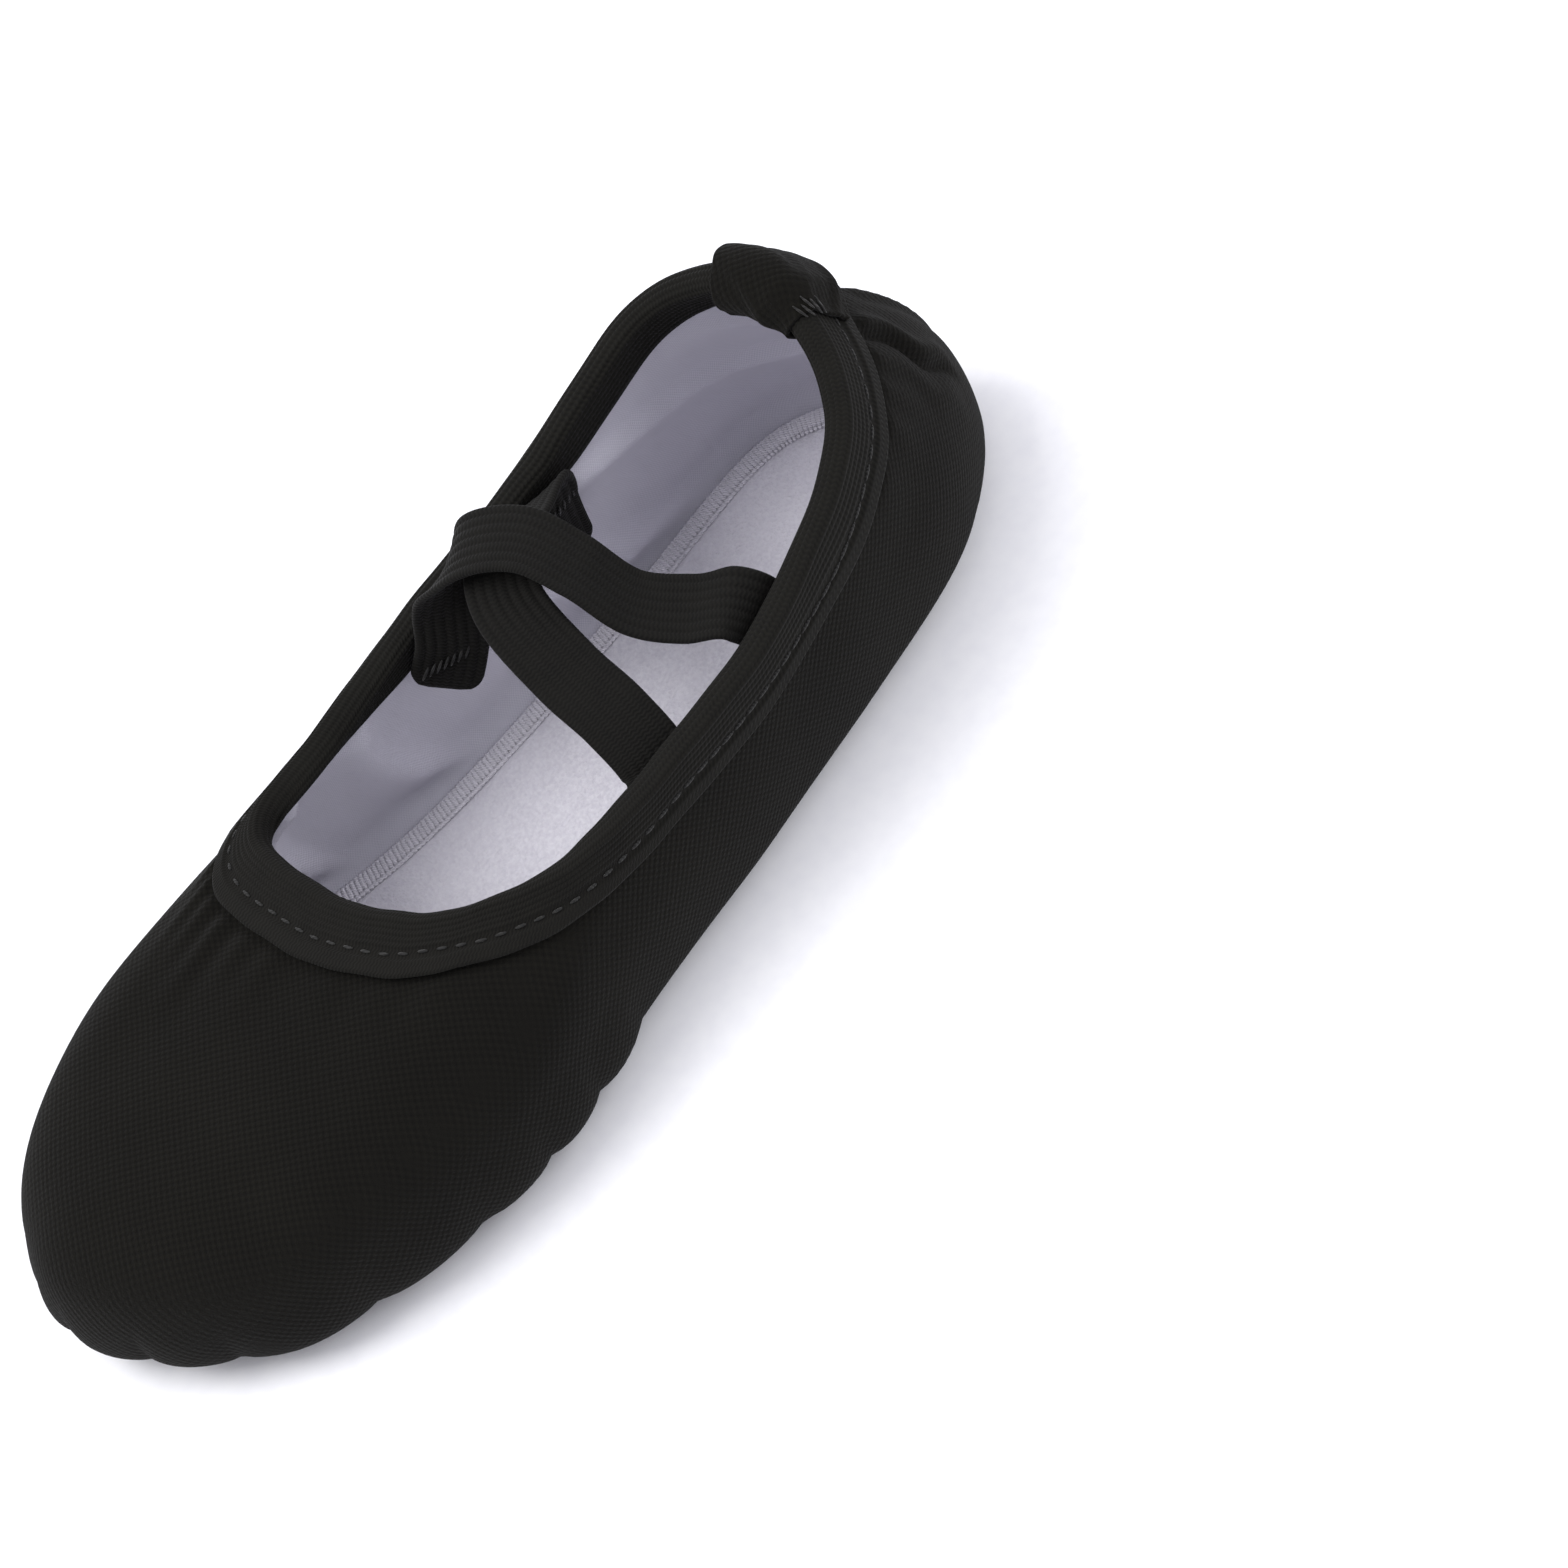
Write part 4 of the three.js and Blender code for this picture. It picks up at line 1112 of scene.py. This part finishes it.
def insole_overlock():
    """Overlocking round the sock's edge: slanting threads side by side, with a chain along them."""
    fine = np.linspace(0, 1, 4000)
    rim = insole_rim(fine)
    walked = walked_along(rim)
    count = int(walked[-1] // OVERLOCK_STEP)
    u = np.interp(np.arange(count) * walked[-1] / count, walked, fine)
    step = 1 / count
    top = INSOLE_FLOOR + INSOLE
    outer, inner = insole_rim(u, -0.1), insole_rim(u + 0.6 * step, OVERLOCK_WIDTH)
    outer[:, 2], inner[:, 2] = top - 0.1, top + 0.05
    chain_from, chain_to = (insole_rim(u + ahead * step, OVERLOCK_WIDTH - 0.2) for ahead in (0, 1.1))
    chain_from[:, 2] = chain_to[:, 2] = top + 0.12
    up = np.tile((0.0, 0.0, 1.0), (2 * count, 1))
    sew("insole_overlock", ("insole_stitch_front", "insole_stitch_heel"),
        np.concatenate([outer, chain_from]), np.concatenate([inner, chain_to]), up,
        OVERLOCK_SIZE, bends, MAT_OVERLOCK)


# ---- pads and sole patches ----

def egg(length, width, front, offset, rear_point, count=1600):
    """The outline of a patch: a round front and a rear end that narrows to a blunt point."""
    half, rear = width / 2, front - length
    widest = front - length * PATCH_WIDEST
    ahead, behind = widest + length * 0.2, widest - length * 0.3
    corners = [
        [(front, 0), (front, half * 0.6), (ahead, half), (widest, half)],
        [(widest, half), (behind, half), (rear + 1, half * rear_point), (rear, 0)],
        [(rear, 0), (rear + 1, -half * rear_point), (behind, -half), (widest, -half)],
        [(widest, -half), (ahead, -half), (front, -half * 0.6), (front, 0)],
    ]
    t = np.linspace(0, 1, count // 4, endpoint=False)
    parts = []
    for a, b, c, d in np.array(corners, float):
        parts.append(bezier(a[None], b[None], c[None], d[None], t)[0])
    line = np.concatenate(parts + [parts[0][:1]]) + (0, offset)
    return line, walked_along(line)


def on_egg(shape, share, inset=0.0):
    line, walked = egg(*shape)
    at = (np.asarray(share, float) % 1) * walked[-1]

    def read(where):
        return read_along(where % walked[-1], walked, line)

    along = unit(read(at + 0.3) - read(at - 0.3))
    return read(at) + np.stack([-along[:, 1], along[:, 0]], axis=1) * inset, walked[-1]


def lies_flat(face):
    return abs(face.normal.z) > 0.5


CHANNEL_HALF = 0.65               # half the width of a stitch channel, with its sides
CHANNEL_SIDE = 0.2
CHANNEL_DEPTH = 0.45


def cut_plate(name, shape, bottom, thickness, materials, edge_bevel, rows=(), steps=176):
    """A flat piece cut to a patch's outline, with stitch channels pressed into its lower face."""
    bm = bmesh.new()
    bmesh.ops.create_circle(bm, cap_ends=True, radius=1, segments=steps)
    turn = np.array([atan2(vert.co.y, vert.co.x) / tau for vert in bm.verts])
    outline, _ = on_egg(shape, turn)
    spots = to_frame(np.column_stack([outline, np.full(len(outline), bottom + thickness)]))
    for vert, spot in zip(bm.verts, spots):
        vert.co = spot
    down = bmesh.ops.extrude_face_region(bm, geom=bm.faces[:])
    bmesh.ops.translate(bm, vec=(0, 0, -thickness * MM),
                        verts=[item for item in down["geom"] if isinstance(item, bmesh.types.BMVert)])
    bmesh.ops.recalc_face_normals(bm, faces=bm.faces)
    for face in bm.faces:
        if not lies_flat(face):
            face.material_index = len(materials) - 1
    rims = [edge for edge in bm.edges if len({lies_flat(face) for face in edge.link_faces}) == 2]
    bmesh.ops.bevel(bm, geom=rims, offset=edge_bevel * MM, segments=3, profile=0.5,
                    affect="EDGES", material=-1)
    below = (face for face in bm.faces if lies_flat(face) and face.normal.z < 0)
    lower = [max(below, key=lambda face: face.calc_area())]
    reached = edge_bevel
    for inset in rows:
        steps_in = [(inset - CHANNEL_HALF - reached, 0), (CHANNEL_SIDE, -CHANNEL_DEPTH),
                    (2 * (CHANNEL_HALF - CHANNEL_SIDE), 0), (CHANNEL_SIDE, CHANNEL_DEPTH)]
        for width, press in steps_in:
            bmesh.ops.inset_region(bm, faces=lower, thickness=width * MM, depth=press * MM,
                                   use_even_offset=False, use_boundary=True)
        reached = inset + CHANNEL_HALF
    return finish_mesh(name, bm, materials)


def suede_patch(name, shape, node_name, moves):
    piece = cut_plate(name, shape, 0, PATCH_THICKNESS, [MAT_SUEDE, MAT_SUEDE_EDGE], 0.22,
                      rows=(PATCH_ROW_OUTER, PATCH_ROW_INNER))
    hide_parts(node_name)
    moves(piece)


DOWN = (0.0, 0.0, -1.0)
PATCH_STITCH = 1.9
PATCH_STITCH_STEP = 2.9
PATCH_STITCH_HEIGHT = 0.34        # inside its channel, clear of the floor


def patch_stitches(name, shape, inset, node_name, moves):
    _, length = on_egg(shape, [0.0])
    count = int(length // PATCH_STITCH_STEP)
    share = np.arange(count) / count
    half = PATCH_STITCH / 2 / length
    starts, ends = on_egg(shape, share - half, inset)[0], on_egg(shape, share + half, inset)[0]
    height = np.full(count, PATCH_STITCH_HEIGHT)
    sew(name, (node_name,), np.column_stack([starts, height]), np.column_stack([ends, height]),
        np.tile(DOWN, (count, 1)), BOLD, moves)


def foam_pad(name, shape, node_name, moves):
    piece = cut_plate(name, shape, PAD_FLOOR, PAD, [MAT_FOAM], 0.8, steps=120)
    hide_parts(node_name)
    moves(piece)


def arch_seam_stitches():
    x = np.arange(ARCH_BEND_X + 3, FRONT_PATCH[2] - FRONT_PATCH[0] - 3, STITCH_STEP + 1)
    here = np.column_stack([x, np.full(len(x), SEAM_Y), np.full(len(x), CANVAS_FLOOR - 0.95)])
    starts, ends = here - (STITCH / 2, 0, 0), here + (STITCH / 2, 0, 0)
    sew("arch_seam_stitches", ("arch_seam_stitch",), starts, ends, np.tile(DOWN, (len(x), 1)),
        FINE, bends)


# ---- straps ----

# Each strap's sewn stations, its free arc as (share of the way across, forward of the straight
# line, above it), the distances below the top edge at which its far end lies on the wall, and the
# turn by which that end's heel-side edge has peeled off the wall.
STRAPS = {
    "strap_over": (0.3335, 0.741, [
        (0.07, 1.5, 1.6), (0.2, 2.0, 1.8), (0.35, 2.0, 5.0), (0.5, -1.6, 12.4), (0.65, -4.6, 16.8),
        (0.84, -4.6, 15.5), (0.92, -2.4, 9)], (2, 5, 8.5, 12), radians(32)),
    "strap_under": (0.257, 0.666, [
        (0.12, 3.9, 1.8), (0.3, 8.2, 5.4), (0.55, 12, 10.4), (0.72, 10, 10), (0.9, 4.5, 3.4)],
        (3, 8, 13, 18, 23), 0.0),
}
TACK_THREADS = 9
TACK_HALF = 1.3                   # half the height of the zigzag
STRAP_RIBS = 7
STRAP_RIB_HEIGHT = 0.3
CORNER_ROUND = 3.6
SIDE_ROUND = 0.07                 # rounded share of half the strap's width
END_ROUND = 0.7


def sewn_edges(u, below):
    """The two long edges of a strap's middle plane where it is sewn to the wall, toe side last."""
    depth = FLAP_DEPTH + GAP + STRAP_EASE + STRAP_THICKNESS / 2
    step = 0.001
    speed = np.linalg.norm(topline([u + step]) - topline([u - step])) / (2 * step)
    half = STRAP_WIDTH / 2 / speed
    edges = UPPER.point(np.array([u - half, u + half]), below, depth)
    return edges[np.argsort(edges[:, 0])]


def wall_inward(u):
    """Straight in from the wall just below the top edge."""
    return -wall_outward(np.array([u]), np.array([4.0]))[0]


def strap_end(u, below):
    return sewn_edges(u, below).mean(0)


def free_curve(points, count):
    """A smooth line through unevenly spaced points, read at evenly spaced places."""
    points = np.concatenate([[2 * points[0] - points[1]], points, [2 * points[-1] - points[-2]]])
    t = np.linspace(0, 1, 40, endpoint=False)[:, None]
    line = []
    for p0, p1, p2, p3 in zip(points, points[1:], points[2:], points[3:]):
        d0, d1, d2 = (max(np.linalg.norm(step) ** 0.5, 1e-4) for step in (p1 - p0, p2 - p1, p3 - p2))
        leave = ((p1 - p0) / d0 - (p2 - p0) / (d0 + d1) + (p2 - p1) / d1) * d1
        arrive = ((p2 - p1) / d1 - (p3 - p1) / (d1 + d2) + (p3 - p2) / d2) * d1
        line.append(cubic(p1, p2, leave, arrive, t))
    line = np.concatenate(line + [points[-2][None]])
    walked = walked_along(line)
    return read_along(np.linspace(0, walked[-1], count), walked, line), walked[-1]


def strap_frame(left, right, arc, lies, peel, count):
    """The strap's centre line with its width and thickness directions at each place."""
    start, end = strap_end(left, 0), strap_end(right, 0)
    across = end - start
    forward = unit(np.array([-across[1], across[0], 0.0]))
    sewn = [strap_end(left, (1 - share) * STRAP_SEWN_LENGTH) for share in (0, 1 / 3, 2 / 3)]
    inward = wall_inward(right)
    loose = [strap_end(right, below) + inward * sin(peel) * STRAP_WIDTH / 2 for below in lies]
    free = [start + across * share + forward * ahead + np.array([0, 0, rise])
            for share, ahead, rise in arc]
    centre, length = free_curve(np.array(sewn + free + loose), count)
    along = unit(np.gradient(centre, axis=0))
    share = np.linspace(0, 1, count)[:, None]
    near, far = (unit(front - rear) for rear, front in (sewn_edges(u, 0) for u in (left, right)))
    wall = np.where(share < 0.5, near, far * cos(peel) - inward * sin(peel))
    wide = lerp(wall, forward, smooth(0.12, 0.35, np.minimum(share, 1 - share)))
    wide = unit(wide - along * (wide * along).sum(1, keepdims=True))
    return centre, wide, np.cross(along, wide), length


def elastic_strap(name, left, right, arc, lies, peel):
    """A ribbed strap from its sewn end up over the opening to its loose far end."""
    rows = 150
    centre, wide, thick, length = strap_frame(left, right, arc, lies, peel, rows + 1)

    def place(a, b):
        row = np.rint(a * rows).astype(int)
        top = b < 0.5
        w = np.where(top, b * 4 - 1, 3 - b * 4)
        left_over = np.minimum(row, rows - row) / rows * length
        to_side = np.maximum((np.abs(w) - (1 - SIDE_ROUND)) / SIDE_ROUND, 0)
        rounded = np.sqrt(np.maximum(1 - to_side ** 2, 0))
        rounded = rounded * np.sqrt(1 - (1 - np.minimum(left_over / END_ROUND, 1)) ** 2)
        ribs = STRAP_RIB_HEIGHT * np.abs(np.sin(pi * STRAP_RIBS * (w + 1) / 2)) ** 0.8
        ribs = ribs * smooth(0.5, 2.5, left_over)
        half = ((STRAP_THICKNESS - STRAP_RIB_HEIGHT) / 2 + ribs) * rounded * np.where(top, 1, -1)
        corner = 1 - np.minimum(left_over / CORNER_ROUND, 1)
        w = w * (1 - (1 - np.sqrt(1 - corner ** 2)) * CORNER_ROUND / (STRAP_WIDTH / 2))
        across = wide[row] * (w * STRAP_WIDTH / 2)[:, None]
        return centre[row] + across + thick[row] * half[:, None]

    piece = lay_net(f"{name}_elastic", rows, 128, place, MAT_STRAP,
                    cloth=(length * MM, 2 * STRAP_WIDTH * MM), closed=True)
    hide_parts(name)
    ends = to_frame([strap_end(left, 0), strap_end(right, 0)])
    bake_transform(piece)


def bar_tack(name, u, below, peel):
    """Close zigzag stitches across a sewn strap end."""
    inward = wall_inward(u)
    peeled = inward * sin(peel) * STRAP_WIDTH
    off = inward * (STRAP_THICKNESS / 2 + 0.35)
    share = np.linspace(0.15, 0.85, TACK_THREADS)[:, None]
    upper, lower = (
        lerp(rear + peeled, front, share + slant) + off
        for (rear, front), slant in ((sewn_edges(u, below - TACK_HALF), 0),
                                     (sewn_edges(u, below + TACK_HALF), 0.035)))
    sew(f"{name}_stitches", (name,), upper, lower, np.tile(inward, (TACK_THREADS, 1)), BOLD,
        rides_forepart)


# ---- build the slipper ----

canvas_upper()
cotton_lining_shell()
topline_binding()
topline_stitches()
heel_tab()
heel_tab_stitches()
heel_seam_stitches()
insole_sock()
insole_overlock()
foam_pad("forefoot_foam", FOREFOOT_PAD, "forefoot_pad", rides_forepart)
foam_pad("heel_foam", HEEL_PAD, "heel_pad", bends)
for part_name, outline_of, moving in (("front", FRONT_PATCH, rides_forepart),
                                      ("heel", HEEL_PATCH, bends)):
    suede_patch(f"{part_name}_suede_patch", outline_of, f"{part_name}_sole_patch", moving)
    for row_name, row_inset in (("outer", PATCH_ROW_OUTER), ("inner", PATCH_ROW_INNER)):
        patch_stitches(f"{part_name}_patch_{row_name}_stitches", outline_of, row_inset,
                       f"{part_name}_patch_stitch_{row_name}", moving)
arch_seam_stitches()
for strap_name, strap_shape in STRAPS.items():
    elastic_strap(strap_name, *strap_shape)
    left_station, right_station, _, strap_lies, far_peel = strap_shape
    bar_tack(f"{strap_name}_tack_left", left_station, STRAP_SEWN_LENGTH * 0.6, 0.0)
    bar_tack(f"{strap_name}_tack_right", right_station, strap_lies[1], far_peel)

# ---- floor and light ----


def seamless_paper():
    """White seamless paper: matt, almost without grain."""
    material, tree, shader = new_material("white_seamless_paper", 0.9, specular=0.1)
    grain = speckle(tree, 300.0)
    tree.links.new(blend_colours(tree, grain, "#f6f6f8", "#fafafb"), shader.inputs["Base Color"])
    return material


def make_floor():
    bm = bmesh.new()
    bmesh.ops.create_grid(bm, x_segments=1, y_segments=1, size=6)
    floor = finish_mesh("floor", bm, [seamless_paper()])


def soft_box(name, place, aim, size, watts, colour):
    data = bpy.data.lights.new(name, "AREA")
    data.shape = "RECTANGLE"
    data.size, data.size_y = size
    data.energy = watts
    data.color = linear(colour)[:3]
    light = bpy.data.objects.new(name, data)
    light.location = place
    light.rotation_mode = "QUATERNION"
    light.rotation_quaternion = (Vector(aim) - Vector(place)).to_track_quat("-Z", "Y")
    bpy.context.scene.collection.objects.link(light)


def make_light():
    world = bpy.data.worlds.new("studio")
    world.use_nodes = True
    background = world.node_tree.nodes["Background"]
    background.inputs["Color"].default_value = linear("#f7f7ff")
    background.inputs["Strength"].default_value = 0.85
    bpy.context.scene.world = world
    soft_box("key_light", (0.5, -0.5, 1.1), (0, 0, 0.02), (0.9, 0.9), 14, "#ffffff")
    soft_box("side_light", (-0.9, 0.6, 0.8), (0, 0, 0.02), (0.8, 0.8), 7, "#fbfbff")
    bpy.context.scene.view_settings.view_transform = "Standard"


make_floor()
make_light()
